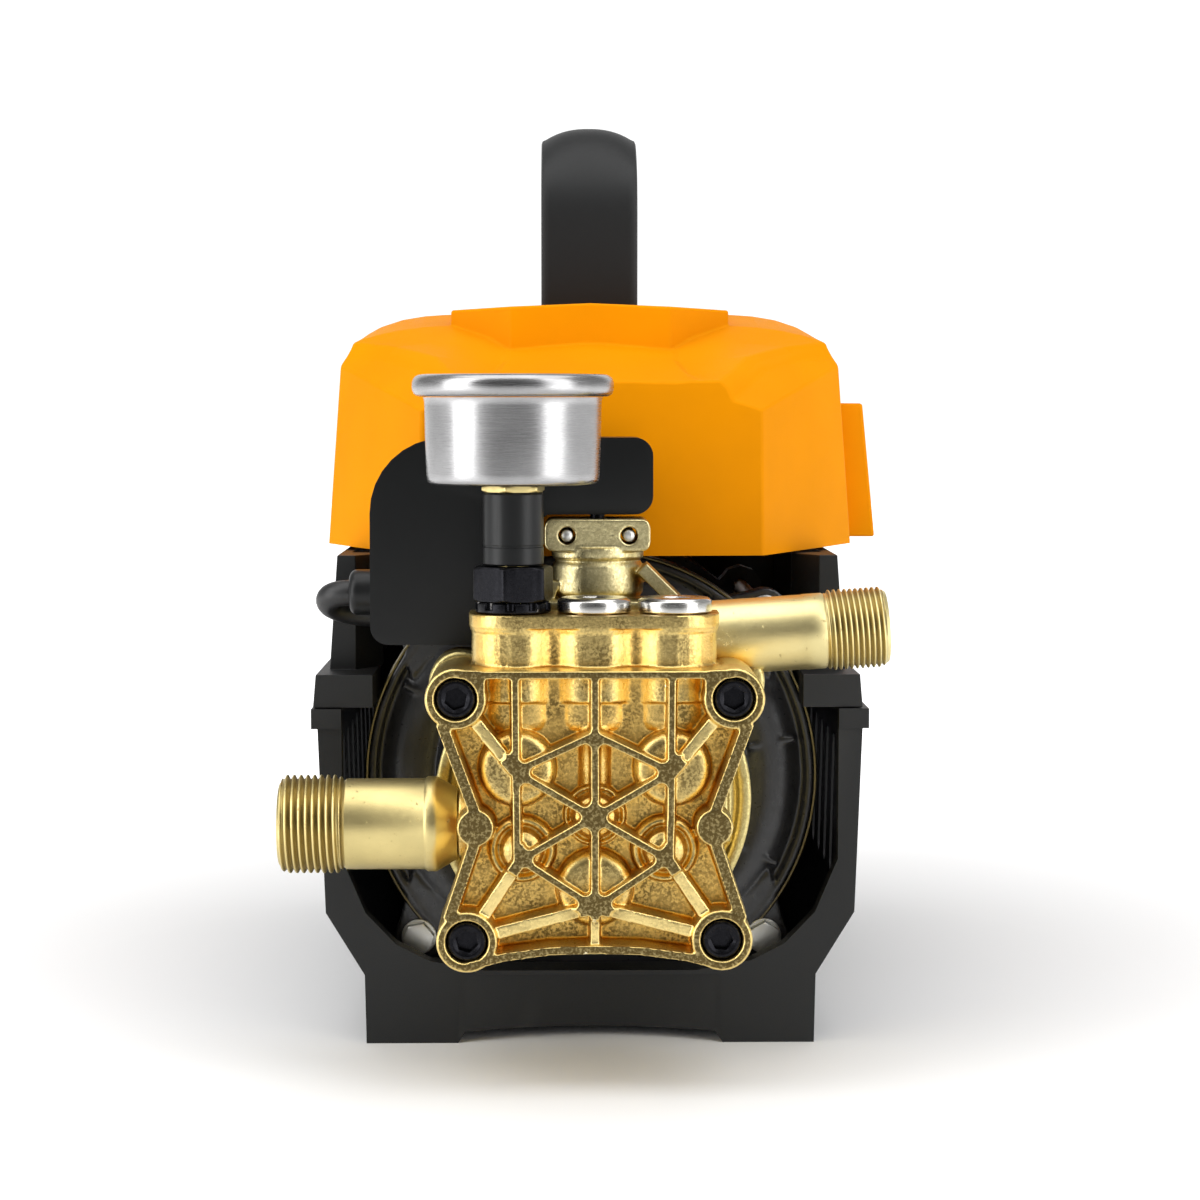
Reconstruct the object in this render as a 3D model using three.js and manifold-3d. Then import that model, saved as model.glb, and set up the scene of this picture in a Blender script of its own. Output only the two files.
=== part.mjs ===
// A three-plunger pressure washer pump on its induction motor, with gauge, pressure switch,
// plastic frame, moulded cover and carrying handle.
// Built in millimetres: X to the right of the shaft, Y back from the pump head's front face,
// Z up from the ground. The last lines centre the assembly over its origin.
import * as THREE from 'three';
import { mergeVertices } from 'three/addons/utils/BufferGeometryUtils.js';
import Module from 'manifold-3d';

const wasm = await Module();
wasm.setup();

// ---------------------------------------------------------------- driving dimensions
const GAP = 0.3; // clearance left between pieces that touch
const AXIS_Z = 74; // height of the motor shaft

const HEAD = { boss: 8, top: [36, 105], bottom: [33, 42], pad: [31, 71.5], padR: 4.9, floor: 8.5, back: 35 };
const BANK = { x: [-21.3, 0, 21.3], y: 17.5, r: 11, bottom: 113, plate: 123, top: 126 };
const PLUNGER = { ring: 22.5, r: 6, stroke: 6.2, rear: 59.6 };
const CRANK = { front: 35.3, wall: 44, back: 80, flangeR: 43, bodyR: 39.5, cavityR: 33 };
const MOTOR = { front: 80.3, body: 92, rear: 190, end: 214, r: 65.3, bodyR: 62, shaftR: 7.5, airGap: 0.5 };
const BOLT_CIRCLE = [[-50, 27], [50, 27], [-50, 121], [50, 121]];
const SHAFT = { front: 60, end: 245, collarR: 7.7, collar: 74 };
const SWASH = { bore: 8, r: 29, front: 56, back: 73.7 };
const THRUST = { bore: 14, r: 28, back: 79.7 };
const BEARING = { r: 17.5, front: [83, 93.7], rear: [196, 206.7] };
const ROTOR = { r: 34, span: [100, 182] };
const WINDING = { bore: 37.5, r: 54, front: [93, 98.6], rear: [183.4, 195] };
const SLOT = { count: 8, ring: 46, r: 5, coilR: 4.7 };
const FAN = { front: 226, back: 240, r: 52, hub: 16, blades: 7 };
const COWL = { wall: 2.3, corner: [60, 262], back: 268, grille: 44, slat: 9 };
const OUTLET = { start: [31, 117.2], tip: 80, y: 41, slope: 3.8, r: 10.9, bore: 7.5, thread: 16.5 };
const INLET = { tip: -83.6, y: 22, z: 69.4, thread: 13.1, tube: 12.1, bore: 9 };
const TOWER = { x: 1.3, y: 47.5, r: 12.5 };
const GAUGE = { x: -21.3, y: 17.5, case: 23.3, rim: 26.45, bottom: 160, top: 188.7 };
const SWITCH_BOX = { front: 43, split: 55, back: 66, left: -60.8, right: 16.4, top: 171.8 };
const CABLE_R = 3.6;
const FRAME = { x: -0.5, front: 64, back: 282, lip: 78.5, wall: 77, rim: 95.4, foot: [37.5, 63.5], port: 48 };
const VENT = { count: 9, first: 104, pitch: 18, half: 3.5, z: [46, 80] };
const UPPER = { x: -1.1, bottom: 95.7, collar: 105, top: 137.7, half: [77.4, 76.6], post: [74, 71.6] };
const POST_FACE = { inner: 59.5, edge: 67, front: 80, bevel: 92 };
const COVER = { front: 70, back: 276, base: 138, wall: 2.5 };
const HANDLE = { front: 132, back: 256, half: 14.6, post: 22, top: 266.5, foot: 197 };
const SIDE_BOX = { y: [140, 196], z: [140, 181], top: 84, bottom: 88 };
const CAPACITOR = { at: [-26, 166], r: 16, span: [128, 204] };
const LEAD_GLAND = [60, 128.6];
const MAINS_GLAND = [44, 160];

// ---------------------------------------------------------------- materials
const finish = (color, roughness, metalness) =>
  new THREE.MeshStandardMaterial({ color, roughness, metalness });
const castGold = finish(0xd9b45a, 0.35, 1);
const brass = finish(0xc7b06a, 0.4, 1);
const steel = finish(0xc9c9cb, 0.25, 1);
const chrome = finish(0xdddddd, 0.1, 1);
const zinc = finish(0xb9bab8, 0.4, 1);
const blackSteel = finish(0x1d1e20, 0.45, 0.6);
const blackPlastic = finish(0x242525, 0.55, 0);
const blackPaint = finish(0x17181a, 0.5, 0.2);
const orangePlastic = finish(0xf8a01a, 0.45, 0);
const laminated = finish(0x74767a, 0.5, 0.9);
const copper = finish(0xb4683a, 0.4, 0.9);
const rubber = finish(0x18181a, 0.8, 0);
const whiteFace = finish(0xf2f2ee, 0.5, 0);
const redPaint = finish(0xb3201c, 0.5, 0);
const clearGlass = finish(0xe6f0f2, 0.05, 0);
clearGlass.transparent = true;
clearGlass.opacity = 0.3;

// ---------------------------------------------------------------- solids from three.js geometry
function solid(geometry) {
  const bare = geometry.clone();
  bare.deleteAttribute('normal');
  bare.deleteAttribute('uv');
  const merged = mergeVertices(bare, 1e-3);
  const points = merged.attributes.position.array;
  const corners = [];
  for (let i = 0; i < merged.index.count; i += 3) {
    const face = [0, 1, 2].map((k) => merged.index.array[i + k]);
    if (new Set(face).size === 3) corners.push(...face);
  }
  const at = (i) => new THREE.Vector3().fromArray(points, 3 * i);
  let volume = 0;
  for (let i = 0; i < corners.length; i += 3) {
    volume += at(corners[i]).dot(at(corners[i + 1]).cross(at(corners[i + 2])));
  }
  if (volume < 0) corners.reverse();
  return new wasm.Manifold(new wasm.Mesh({
    numProp: 3, vertProperties: Float32Array.from(points), triVerts: Uint32Array.from(corners),
  }));
}

const join = (...parts) => parts.flat().reduce((a, b) => a.add(b));
const cut = (body, ...tools) => tools.flat().reduce((a, b) => a.subtract(b), body);
const keep = (a, b) => a.intersect(b);

function block([x0, x1], [y0, y1], [z0, z1]) {
  const box = new THREE.BoxGeometry(x1 - x0, y1 - y0, z1 - z0);
  return solid(box.translate((x0 + x1) / 2, (y0 + y1) / 2, (z0 + z1) / 2));
}

// A turned piece: profile points are [radius, distance along the axis]; at is the axis's place
// in the other two coordinates, in X, Y, Z order.
function turned(axis, profile, at, segments = 20) {
  const lathe = new THREE.LatheGeometry(profile.map(([r, h]) => new THREE.Vector2(r, h)), segments);
  if (axis === 'x') lathe.rotateZ(-Math.PI / 2).translate(0, at[0], at[1]);
  if (axis === 'y') lathe.translate(at[0], 0, at[1]);
  if (axis === 'z') lathe.rotateX(Math.PI / 2).translate(at[0], at[1], 0);
  return solid(lathe);
}

const rod = (axis, r, from, to, at, segments = 12) =>
  turned(axis, [[0, from], [r, from], [r, to], [0, to]], at, segments);

const ring = (axis, inner, outer, from, to, at, segments = 20) =>
  turned(axis, [[inner, from], [outer, from], [outer, to], [inner, to], [inner, from]], at, segments);

// An outline pushed along an axis. Outline points are [x, z] along Y, [x, y] along Z, [y, z] along X.
function prism(axis, points, from, to) {
  const shape = new THREE.Shape(points.map(([a, b]) => new THREE.Vector2(a, b)));
  const body = new THREE.ExtrudeGeometry(shape, { depth: to - from, bevelEnabled: false });
  const basis = new THREE.Matrix4();
  const [x, y, z] = [[1, 0, 0], [0, 1, 0], [0, 0, 1]].map((v) => new THREE.Vector3(...v));
  if (axis === 'x') basis.makeBasis(y, z, x).setPosition(from, 0, 0);
  if (axis === 'y') basis.makeBasis(x, z, y.negate()).setPosition(0, to, 0);
  if (axis === 'z') basis.makeBasis(x, y, z).setPosition(0, 0, from);
  return solid(body.applyMatrix4(basis));
}

const mirrored = (points) => [...points, ...points.map(([x, z]) => [-x, z]).reverse()];

// A straight rib between two points of the XZ plane.
function rib([ax, az], [bx, bz], width, y0, y1) {
  const length = Math.hypot(bx - ax, bz - az);
  const side = [(-(bz - az) / length) * (width / 2), ((bx - ax) / length) * (width / 2)];
  const outline = [[ax, az, 1], [bx, bz, 1], [bx, bz, -1], [ax, az, -1]];
  return prism('y', outline.map(([x, z, s]) => [x + s * side[0], z + s * side[1]]), y0, y1);
}

// Flat-sided stock, such as a nut or a hex head, with its axis along Z or Y.
function hexagon(axis, acrossFlats, from, to, at, turn = 0) {
  const corner = acrossFlats / Math.sqrt(3);
  const points = Array.from({ length: 6 }, (_, i) => {
    const angle = turn + (i * Math.PI) / 3;
    return [at[0] + corner * Math.cos(angle), at[1] + corner * Math.sin(angle)];
  });
  return prism(axis, points, from, to);
}

// A skin through closed rings of points, with a fan over each end.
function loft(rings) {
  const count = rings[0].length;
  const points = rings.flat(2);
  const faces = [];
  for (let r = 0; r + 1 < rings.length; r += 1) {
    for (let i = 0; i < count; i += 1) {
      const [a, b] = [r * count + i, r * count + ((i + 1) % count)];
      faces.push(a, b, b + count, a, b + count, a + count);
    }
  }
  [[rings[0], 0, false], [rings.at(-1), (rings.length - 1) * count, true]].forEach(([end, first, far]) => {
    const centre = points.length / 3;
    points.push(...[0, 1, 2].map((k) => end.reduce((sum, p) => sum + p[k], 0) / count));
    for (let i = 0; i < count; i += 1) {
      const [a, b] = [first + i, first + ((i + 1) % count)];
      faces.push(...(far ? [a, b, centre] : [b, a, centre]));
    }
  });
  const skin = new THREE.BufferGeometry();
  skin.setAttribute('position', new THREE.Float32BufferAttribute(points, 3));
  skin.setIndex(faces);
  return solid(skin);
}

const group = new THREE.Group();

function add(name, body, material) {
  const { numProp, vertProperties, triVerts } = body.getMesh();
  const geometry = new THREE.BufferGeometry();
  geometry.setAttribute('position', new THREE.BufferAttribute(vertProperties, numProp));
  geometry.setIndex(new THREE.BufferAttribute(triVerts, 1));
  const flat = geometry.toNonIndexed();
  flat.computeVertexNormals();
  const mesh = new THREE.Mesh(flat, material);
  mesh.name = name;
  group.add(mesh);
}

// ---------------------------------------------------------------- outlet line
// A turned piece on the outlet's rising axis, and the room that the tube needs past its neighbours.
function alongOutlet(profile, segments = 24) {
  const lathe = new THREE.LatheGeometry(profile.map(([r, h]) => new THREE.Vector2(r, h)), segments);
  lathe.rotateZ(-Math.PI / 2).rotateY((-OUTLET.slope * Math.PI) / 180);
  return solid(lathe.translate(OUTLET.start[0], OUTLET.y, OUTLET.start[1]));
}
const outletRoom = () => alongOutlet([[0, -4], [10.5, -4], [10.5, 30], [0, 30]], 14);

// ---------------------------------------------------------------- pump head
const mirrorX = ([x, z]) => [-x, z];
const bolts = [mirrorX(HEAD.top), HEAD.top, mirrorX(HEAD.bottom), HEAD.bottom];
const plungerAngles = [90 + 60, 90 - 60, 270];
const plungerPlaces = plungerAngles.map((degrees) => {
  const angle = (degrees * Math.PI) / 180;
  return [PLUNGER.ring * Math.cos(angle), AXIS_Z + PLUNGER.ring * Math.sin(angle)];
});

function headRibs() {
  const [tl, tr, bl, br] = bolts;
  const [topN, centreN, bottomN] = [[0, 95.7], [0, 74.3], [0, 51]];
  const [upL, upR, lowL, lowR] = [[-19.9, 85.7], [19.9, 85.7], [-19.5, 62.3], [19.5, 62.3]];
  const star = [
    [topN, upL], [topN, upR], [upL, centreN], [upR, centreN], [centreN, lowL], [centreN, lowR],
    [lowL, bottomN], [lowR, bottomN], [tl, upL], [tr, upR], [lowL, bl], [lowR, br], [bottomN, bl],
    [bottomN, br], [bottomN, [0, 39]], [[0, 113], bottomN], [[-21, 113], [-21, 62]], [[21, 113], [21, 62]],
  ];
  const right = [[42.6, 101.5], [31.5, 72], [39.8, 46]];
  const rim = [
    [[-36, 112], [36, 112]], [[-33, 35], [-12, 39.3]], [[33, 35], [12, 39.3]], [[-12, 39.3], [12, 39.3]],
    [right[0], right[1]], [right[1], right[2]],
    [mirrorX(right[0]), mirrorX(right[1])], [mirrorX(right[1]), mirrorX(right[2])],
  ];
  return [
    ...star.map(([a, b]) => rib(a, b, 1.8, 0, HEAD.floor + 0.5)),
    ...rim.map(([a, b]) => rib(a, b, 2.2, 0, HEAD.floor + 0.5)),
    ...[topN, centreN, bottomN, upL, upR, lowL, lowR].map((p) => rod('y', 2.3, 0, HEAD.floor + 0.5, p, 8)),
  ];
}

function pumpHead() {
  const waist = mirrored([[36, 113], [43.3, 102], [32.5, 72], [40.5, 46], [33, 34.2], [12, 38.4]]);
  const pads = [HEAD.pad, mirrorX(HEAD.pad)].map((p) => rod('y', HEAD.padR, 0, HEAD.floor + 1, p, 10));
  const bosses = bolts.map((p) => rod('y', HEAD.boss, 0, HEAD.back, p, 14));
  const domes = [[-20, 87], [20, 87], [0, 53.5]].map((p) =>
    turned('y', [[0, 3.2], [5, 3.6], [8.4, 5.4], [10, 9.5], [0, 9.5]], p, 12));
  const columns = BANK.x.map((x) => rod('z', 8, 78, BANK.bottom + 1, [x, 15], 10));
  const bank = BANK.x.map((x) => rod('z', BANK.r, 100, BANK.plate + 1, [x, BANK.y], 14));
  const plate = [BANK.x[0], BANK.x[2]].map((x) => rod('z', 11.7, BANK.plate, BANK.top, [x, BANK.y], 14));
  const body = join(
    prism('y', waist, HEAD.floor, 12.2),
    block([-32, 32], [12, HEAD.back], [41, 113]),
    block([BANK.x[0], BANK.x[2]], [BANK.y - 9.5, 28], [100, BANK.plate + 1]),
    block([BANK.x[0], BANK.x[2]], [BANK.y - 11.7, 28], [BANK.plate, BANK.top]),
    rod('x', 9, -36, -30, [INLET.y, INLET.z], 12),
    pads, bosses, domes, columns, bank, plate, headRibs(),
  );
  return cut(
    body,
    bolts.map((p) => rod('y', 3.4, 4, HEAD.back + 1, p, 10)),
    bolts.map((p) => rod('y', 5.6, -1, 5.5, p, 12)),
    plungerPlaces.map((p) => rod('y', PLUNGER.r + 0.4, 17, HEAD.back + 1, p, 14)),
    BANK.x.map((x) => rod('z', 7.6, 112, BANK.top + 1, [x, BANK.y], 10)),
    rod('x', 6, -37, -20, [INLET.y, INLET.z], 10),
    outletRoom(),
  );
}

function headBolt(place) {
  return cut(
    join(
      rod('y', 5.2, 0.4, 5.2, place, 12),
      rod('y', 3, 5, 50, place, 10),
    ),
    hexagon('y', 5, 0, 3.4, place),
  );
}

add('pump_head', pumpHead(), castGold);
bolts.forEach((place, i) => add(`head_bolt_${i + 1}`, headBolt(place), blackSteel));

function valvePlug(x) {
  const profile = [[0, 116], [7.2, 116], [7.2, BANK.top + GAP], [9.75, BANK.top + GAP], [9.75, 129.2],
    [9, 130.2], [0, 130.2]];
  return cut(turned('z', profile, [x, BANK.y], 18), hexagon('z', 8, 127.6, 131, [x, BANK.y], 0.3));
}
add('valve_plug_centre', valvePlug(BANK.x[1]), chrome);
add('valve_plug_right', valvePlug(BANK.x[2]), chrome);

// Inlet fitting, G 3/4 male, and its bore.
const inletProfile = [
  [INLET.bore, INLET.tip], [INLET.thread - 1, INLET.tip], [INLET.thread, INLET.tip + 1],
  [INLET.thread, -66.7], [INLET.tube, -66.3], [INLET.tube, -44.6], [12.65, -44.2], [12.65, -41.5],
  [9.4, -36.3], [5.6, -36.3], [INLET.bore, -44], [INLET.bore, INLET.tip],
];
add('inlet_fitting', turned('x', inletProfile, [INLET.y, INLET.z], 18), brass);

// ---------------------------------------------------------------- unloader and outlet
function unloaderHousing() {
  const at = [TOWER.x, TOWER.y];
  const flange = block([TOWER.x - 14.2, TOWER.x + 14.2], [TOWER.y - 11, TOWER.y + 11], [141, 149.8]);
  const tower = turned('z', [[0, 117.8], [10.5, 117.8], [10.5, 127], [TOWER.r, 130], [TOWER.r, 137.3],
    [11.6, 138.2], [12.6, 139], [12.6, 142], [0, 142]], at, 18);
  return cut(
    join(
      tower, flange,
      block([-12, 29.9], [29.6, 53], [117.8, 128]),
      rib([13.5, 136], [24, 127], 4, 36, 46),
    ),
    rod('z', 6, 122, 151, at, 12),
    [-8.4, 8.4].map((dx) => rod('y', 2.3, TOWER.y - 12, TOWER.y + 12, [TOWER.x + dx, 145.4], 8)),
    rod('x', OUTLET.bore, 12, 32, [OUTLET.y, OUTLET.start[1] + 5.3], 10),
  );
}
add('unloader_housing', unloaderHousing(), castGold);

function outletTube() {
  const length = (OUTLET.tip - OUTLET.start[0]) / Math.cos((OUTLET.slope * Math.PI) / 180);
  const threadStart = length - OUTLET.thread;
  const profile = [
    [OUTLET.bore, 0], [10.2, 0], [10.2, threadStart - 0.4], [OUTLET.r + 0.1, threadStart],
    [OUTLET.r + 0.1, length - 1], [OUTLET.r - 0.9, length], [OUTLET.bore, length], [OUTLET.bore, 0],
  ];
  return cut(alongOutlet(profile), rod('y', 3 + GAP, 28, 52, HEAD.top, 12));
}
add('outlet_tube', outletTube(), castGold);

const towerPin = (dx) => rod('y', 1.75, TOWER.y - 10.4, TOWER.y + 10.4, [TOWER.x + dx, 145.4], 8);
add('unloader_pin_left', towerPin(-8.4), zinc);
add('unloader_pin_right', towerPin(8.4), zinc);
add('unloader_piston', turned('z', [[0, 124], [5.6, 124], [5.6, 138], [2, 138.6], [2, 153.2], [0, 153.2]],
  [TOWER.x, TOWER.y], 12), zinc);

// ---------------------------------------------------------------- gauge
const gaugeAt = [GAUGE.x, GAUGE.y];
function castellated() {
  const body = ring('z', 4.6, 10, BANK.top + GAP, 129, gaugeAt, 18);
  const notches = Array.from({ length: 6 }, (_, i) => {
    const angle = (i * Math.PI) / 3 + 0.25;
    const place = [GAUGE.x + 9.6 * Math.cos(angle), GAUGE.y + 9.6 * Math.sin(angle)];
    return rod('z', 1.5, 127.4, 130, place, 8);
  });
  return join(cut(body, notches), ring('z', 4.6, 7.2, 116, 127, gaugeAt, 12));
}
add('gauge_adapter', castellated(), blackSteel);
add('gauge_nut', cut(hexagon('z', 19, 129.3, 138.4, gaugeAt, 0.3), rod('z', 4.6, 128, 140, gaugeAt, 12)),
  blackSteel);
add('gauge_sleeve', ring('z', 4.6, 8, 138.7, 157.8, gaugeAt, 14), blackPlastic);
add('gauge_stem', join(
  rod('z', 4.2, 118, 158.6, gaugeAt, 12),
  turned('z', [[0, 158.1], [8.5, 158.1], [7.4, 159.7], [0, 159.7]], gaugeAt, 6),
), brass);

const caseFloor = GAUGE.bottom + 1.2;
add('gauge_case', turned('z', [
  [0, GAUGE.bottom], [GAUGE.case - 1.2, GAUGE.bottom], [GAUGE.case - 0.4, GAUGE.bottom + 1],
  [GAUGE.case, 182.6], [GAUGE.case - 1.1, 182.6], [GAUGE.case - 1.4, caseFloor], [0, caseFloor],
], gaugeAt, 22), steel);
add('gauge_bezel', turned('z', [
  [GAUGE.case - 1, 182.9], [GAUGE.rim - 0.6, 182.9], [GAUGE.rim, 184.4], [GAUGE.rim, 186.6],
  [GAUGE.rim - 1.4, 188.3], [GAUGE.rim - 3, GAUGE.top], [GAUGE.case - 1.4, 187.6],
  [GAUGE.case - 1, 182.9],
], gaugeAt, 22), steel);
add('gauge_movement', cut(
  rod('z', 14, caseFloor + 0.5, 176, gaugeAt, 10),
  rod('z', 1.4, 168, 177, gaugeAt, 8),
), brass);
add('gauge_dial', ring('z', 1.6, 21, 177.4, 178.2, gaugeAt, 18), whiteFace);
// The needle rests on its zero stop, at the front left of the dial.
const needleZero = (135 * Math.PI) / 180;
const needlePoint = ([x, y]) => [
  GAUGE.x + x * Math.cos(needleZero) - y * Math.sin(needleZero),
  GAUGE.y + x * Math.sin(needleZero) + y * Math.cos(needleZero),
];
add('gauge_needle', join(
  rod('z', 1, 169, 181, gaugeAt, 10),
  rod('z', 2.4, 180, 181.4, gaugeAt, 10),
  prism('z', [[-1.1, -7], [1.1, -7], [0.5, 17], [-0.5, 17]].map(needlePoint), 180.2, 180.8),
), redPaint);
add('gauge_lens', rod('z', 21.6, 184, 186.2, gaugeAt, 18), clearGlass);

// ---------------------------------------------------------------- crankcase and drive
const shaftAt = [0, AXIS_Z];
function crankcase() {
  const profile = [
    [0, CRANK.front], [CRANK.flangeR, CRANK.front], [CRANK.flangeR, 41], [CRANK.bodyR, 42],
    [CRANK.bodyR, CRANK.back], [CRANK.cavityR, CRANK.back], [CRANK.cavityR, CRANK.wall], [0, CRANK.wall],
  ];
  const ears = bolts.map((p) => rod('y', 7.4, CRANK.front, 54, p, 10));
  const cavity = rod('y', CRANK.cavityR, CRANK.wall, 60, shaftAt, 22);
  return cut(
    join(turned('y', profile, shaftAt, 22), cut(join(ears), cavity)),
    plungerPlaces.map((p) => rod('y', PLUNGER.r + 0.4, 34, 46, p, 14)),
    bolts.map((p) => rod('y', 3.4, 34, 56, p, 10)),
    outletRoom(),
  );
}
add('crankcase', crankcase(), castGold);

// The swash plate is highest towards -X at rest, so each plunger starts at its own height.
const swashTilt = Math.asin(PLUNGER.stroke / 2 / PLUNGER.ring);
const plungerLift = plungerAngles.map((d) => -(PLUNGER.stroke / 2) * Math.cos((d * Math.PI) / 180));
plungerPlaces.forEach((place, i) => {
  const tail = PLUNGER.rear - PLUNGER.stroke / 2 - plungerLift[i];
  const number = i + 1;
  add(`plunger_${number}`, turned('y', [
    [0, tail - 32], [5.4, tail - 32], [PLUNGER.r, tail - 31], [PLUNGER.r, tail - 3], [8, tail - 3],
    [8, tail - 0.6], [7.4, tail], [0, tail],
  ], place, 14), steel);
  add(`plunger_spring_${number}`, ring('y', 6.4, 8, CRANK.wall + GAP, 50, place, 12), zinc);
});

function swashPlate() {
  const tall = ring('y', SWASH.bore, SWASH.r, SWASH.front, SWASH.back, shaftAt, 18);
  const slope = new THREE.BoxGeometry(100, 40, 100).translate(0, -20, 0);
  slope.rotateZ(-swashTilt).translate(0, PLUNGER.rear + 4.6, AXIS_Z);
  return cut(tall, solid(slope));
}
add('swash_plate', swashPlate(), blackSteel);
add('thrust_bearing', ring('y', THRUST.bore, THRUST.r, SWASH.back + GAP, THRUST.back, shaftAt, 18), steel);

add('motor_shaft', turned('y', [
  [0, SHAFT.front], [SHAFT.collarR, SHAFT.front], [SHAFT.collarR, SHAFT.collar],
  [MOTOR.shaftR, SHAFT.collar], [MOTOR.shaftR, SHAFT.end - 1], [MOTOR.shaftR - 1, SHAFT.end], [0, SHAFT.end],
], shaftAt, 14), zinc);
const boreR = MOTOR.shaftR + GAP;
add('motor_rotor', ring('y', boreR, ROTOR.r, ...ROTOR.span, shaftAt, 18), laminated);
add('front_bearing', ring('y', boreR, BEARING.r, ...BEARING.front, shaftAt, 14), steel);
add('rear_bearing', ring('y', boreR, BEARING.r, ...BEARING.rear, shaftAt, 14), steel);

// ---------------------------------------------------------------- motor
const boltHoles = (from, to) => BOLT_CIRCLE.map((p) => rod('y', 2.8, from, to, p, 8));
const lugs = (from, to) => BOLT_CIRCLE.map(([x, z]) => join(
  rod('y', 7, from, to, [x, z], 10),
  rib([x, z], [x * 0.8, AXIS_Z + (z - AXIS_Z) * 0.8], 13, from, to),
));

function frontBell() {
  const profile = [
    [0, MOTOR.front], [44, MOTOR.front], [49, 84], [56, 84], [58, 82.4], [MOTOR.r - 1.2, 82.4],
    [MOTOR.r, 83.4], [MOTOR.r, MOTOR.body], [59, MOTOR.body], [57, 88.5], [24, 88.5], [22, 94], [0, 94],
  ];
  const spokes = Array.from({ length: 10 }, (_, i) => {
    const angle = ((i + 0.5) * Math.PI) / 5;
    const end = (r) => [r * Math.cos(angle), AXIS_Z + r * Math.sin(angle)];
    return rib(end(46), end(57), 2.5, 82, 86);
  });
  return cut(
    join(turned('y', profile, shaftAt, 26), spokes, lugs(83.4, MOTOR.body)),
    rod('y', 9, 79, 84, shaftAt, 12),
    rod('y', BEARING.r + GAP, BEARING.front[0] - GAP, 95, shaftAt, 14),
    boltHoles(82, 93),
  );
}
add('motor_front_bell', frontBell(), blackPaint);

const slotPlaces = Array.from({ length: SLOT.count }, (_, i) => {
  const angle = (i * 2 * Math.PI) / SLOT.count;
  return [SLOT.ring * Math.cos(angle), AXIS_Z + SLOT.ring * Math.sin(angle)];
});
function statorCore() {
  const slots = slotPlaces.map((p) => rod('y', SLOT.r, 97, 186, p, 8));
  const recess = (from, to) => ring('y', WINDING.bore - 1, WINDING.r + 2, from, to, shaftAt, 22);
  return cut(
    ring('y', ROTOR.r + MOTOR.airGap, MOTOR.bodyR, MOTOR.body + GAP, MOTOR.rear - GAP, shaftAt, 26),
    recess(MOTOR.body, 99), recess(183, MOTOR.rear), slots,
  );
}
add('motor_stator', statorCore(), laminated);
add('stator_winding', join(
  [WINDING.front, WINDING.rear].map((span) => ring('y', WINDING.bore, WINDING.r, ...span, shaftAt, 18)),
  slotPlaces.map((p) => rod('y', SLOT.coilR, 98, 184, p, 8)),
), copper);

function rearBell() {
  const profile = [
    [0, 198], [18, 198], [24, 199], [56.5, 199], [58, 194], [58, MOTOR.rear], [MOTOR.r, MOTOR.rear],
    [MOTOR.r, MOTOR.end - 3], [MOTOR.r - 3, MOTOR.end], [60, MOTOR.end], [56, 203], [24, 203],
    [21.5, 209], [0, 209],
  ];
  return cut(
    join(turned('y', profile, shaftAt, 26), lugs(MOTOR.rear, 200), ring('y', 17, 22, 194, 200, shaftAt, 14)),
    rod('y', 9, 190, 210, shaftAt, 12),
    rod('y', BEARING.r + GAP, 190, 207, shaftAt, 14),
    boltHoles(189, 201),
  );
}
add('motor_rear_bell', rearBell(), blackPaint);

BOLT_CIRCLE.forEach((place, i) => add(`motor_bolt_${i + 1}`, join(
  hexagon('y', 8, 78.4, 82.1, place, 0.2),
  rod('y', 2.5, 82, 204, place, 8),
), zinc));

function fan() {
  const blades = Array.from({ length: FAN.blades }, (_, i) => {
    const angle = (i * 2 * Math.PI) / FAN.blades;
    const end = (r, turn) => [r * Math.cos(angle + turn), AXIS_Z + r * Math.sin(angle + turn)];
    return rib(end(14, 0), end(FAN.r, 0.18), 2.4, FAN.front, FAN.back);
  });
  return cut(
    join(
      rod('y', FAN.hub, FAN.front, FAN.back, shaftAt, 14),
      rod('y', 40, FAN.front, FAN.front + 2.5, shaftAt, 18),
      blades,
    ),
    rod('y', boreR, 220, 250, shaftAt, 12),
  );
}
add('cooling_fan', fan(), blackPlastic);

function fanCover() {
  const [outer, inner, front] = [MOTOR.r - 0.3, MOTOR.r - 0.3 - COWL.wall, MOTOR.end + GAP];
  const [cornerR, cornerY] = COWL.corner;
  const cup = turned('y', [
    [inner, front], [outer, front], [outer, cornerY], [cornerR, COWL.back], [0, COWL.back],
    [0, COWL.back - 2.4], [cornerR - 1, COWL.back - 2.4], [inner, cornerY - 1], [inner, front],
  ], shaftAt, 22);
  const slots = [-4, -3, -2, -1, 0, 1, 2, 3, 4].map((row) => {
    const z = AXIS_Z + row * COWL.slat;
    const half = Math.sqrt(COWL.grille ** 2 - (row * COWL.slat) ** 2);
    return block([-half, half], [COWL.back - 8, COWL.back + 2], [z - 2.2, z + 2.2]);
  });
  return cut(cup, slots);
}
add('fan_cover', fanCover(), blackPaint);

// ---------------------------------------------------------------- frame
// A round-ended slot through both side walls.
function sideVent(y) {
  const [low, high] = VENT.z;
  return join(
    block([-80, 80], [y - VENT.half, y + VENT.half], VENT.z),
    [low, high].map((z) => rod('x', VENT.half, -80, 80, [y, z], 12)),
  );
}

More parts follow.
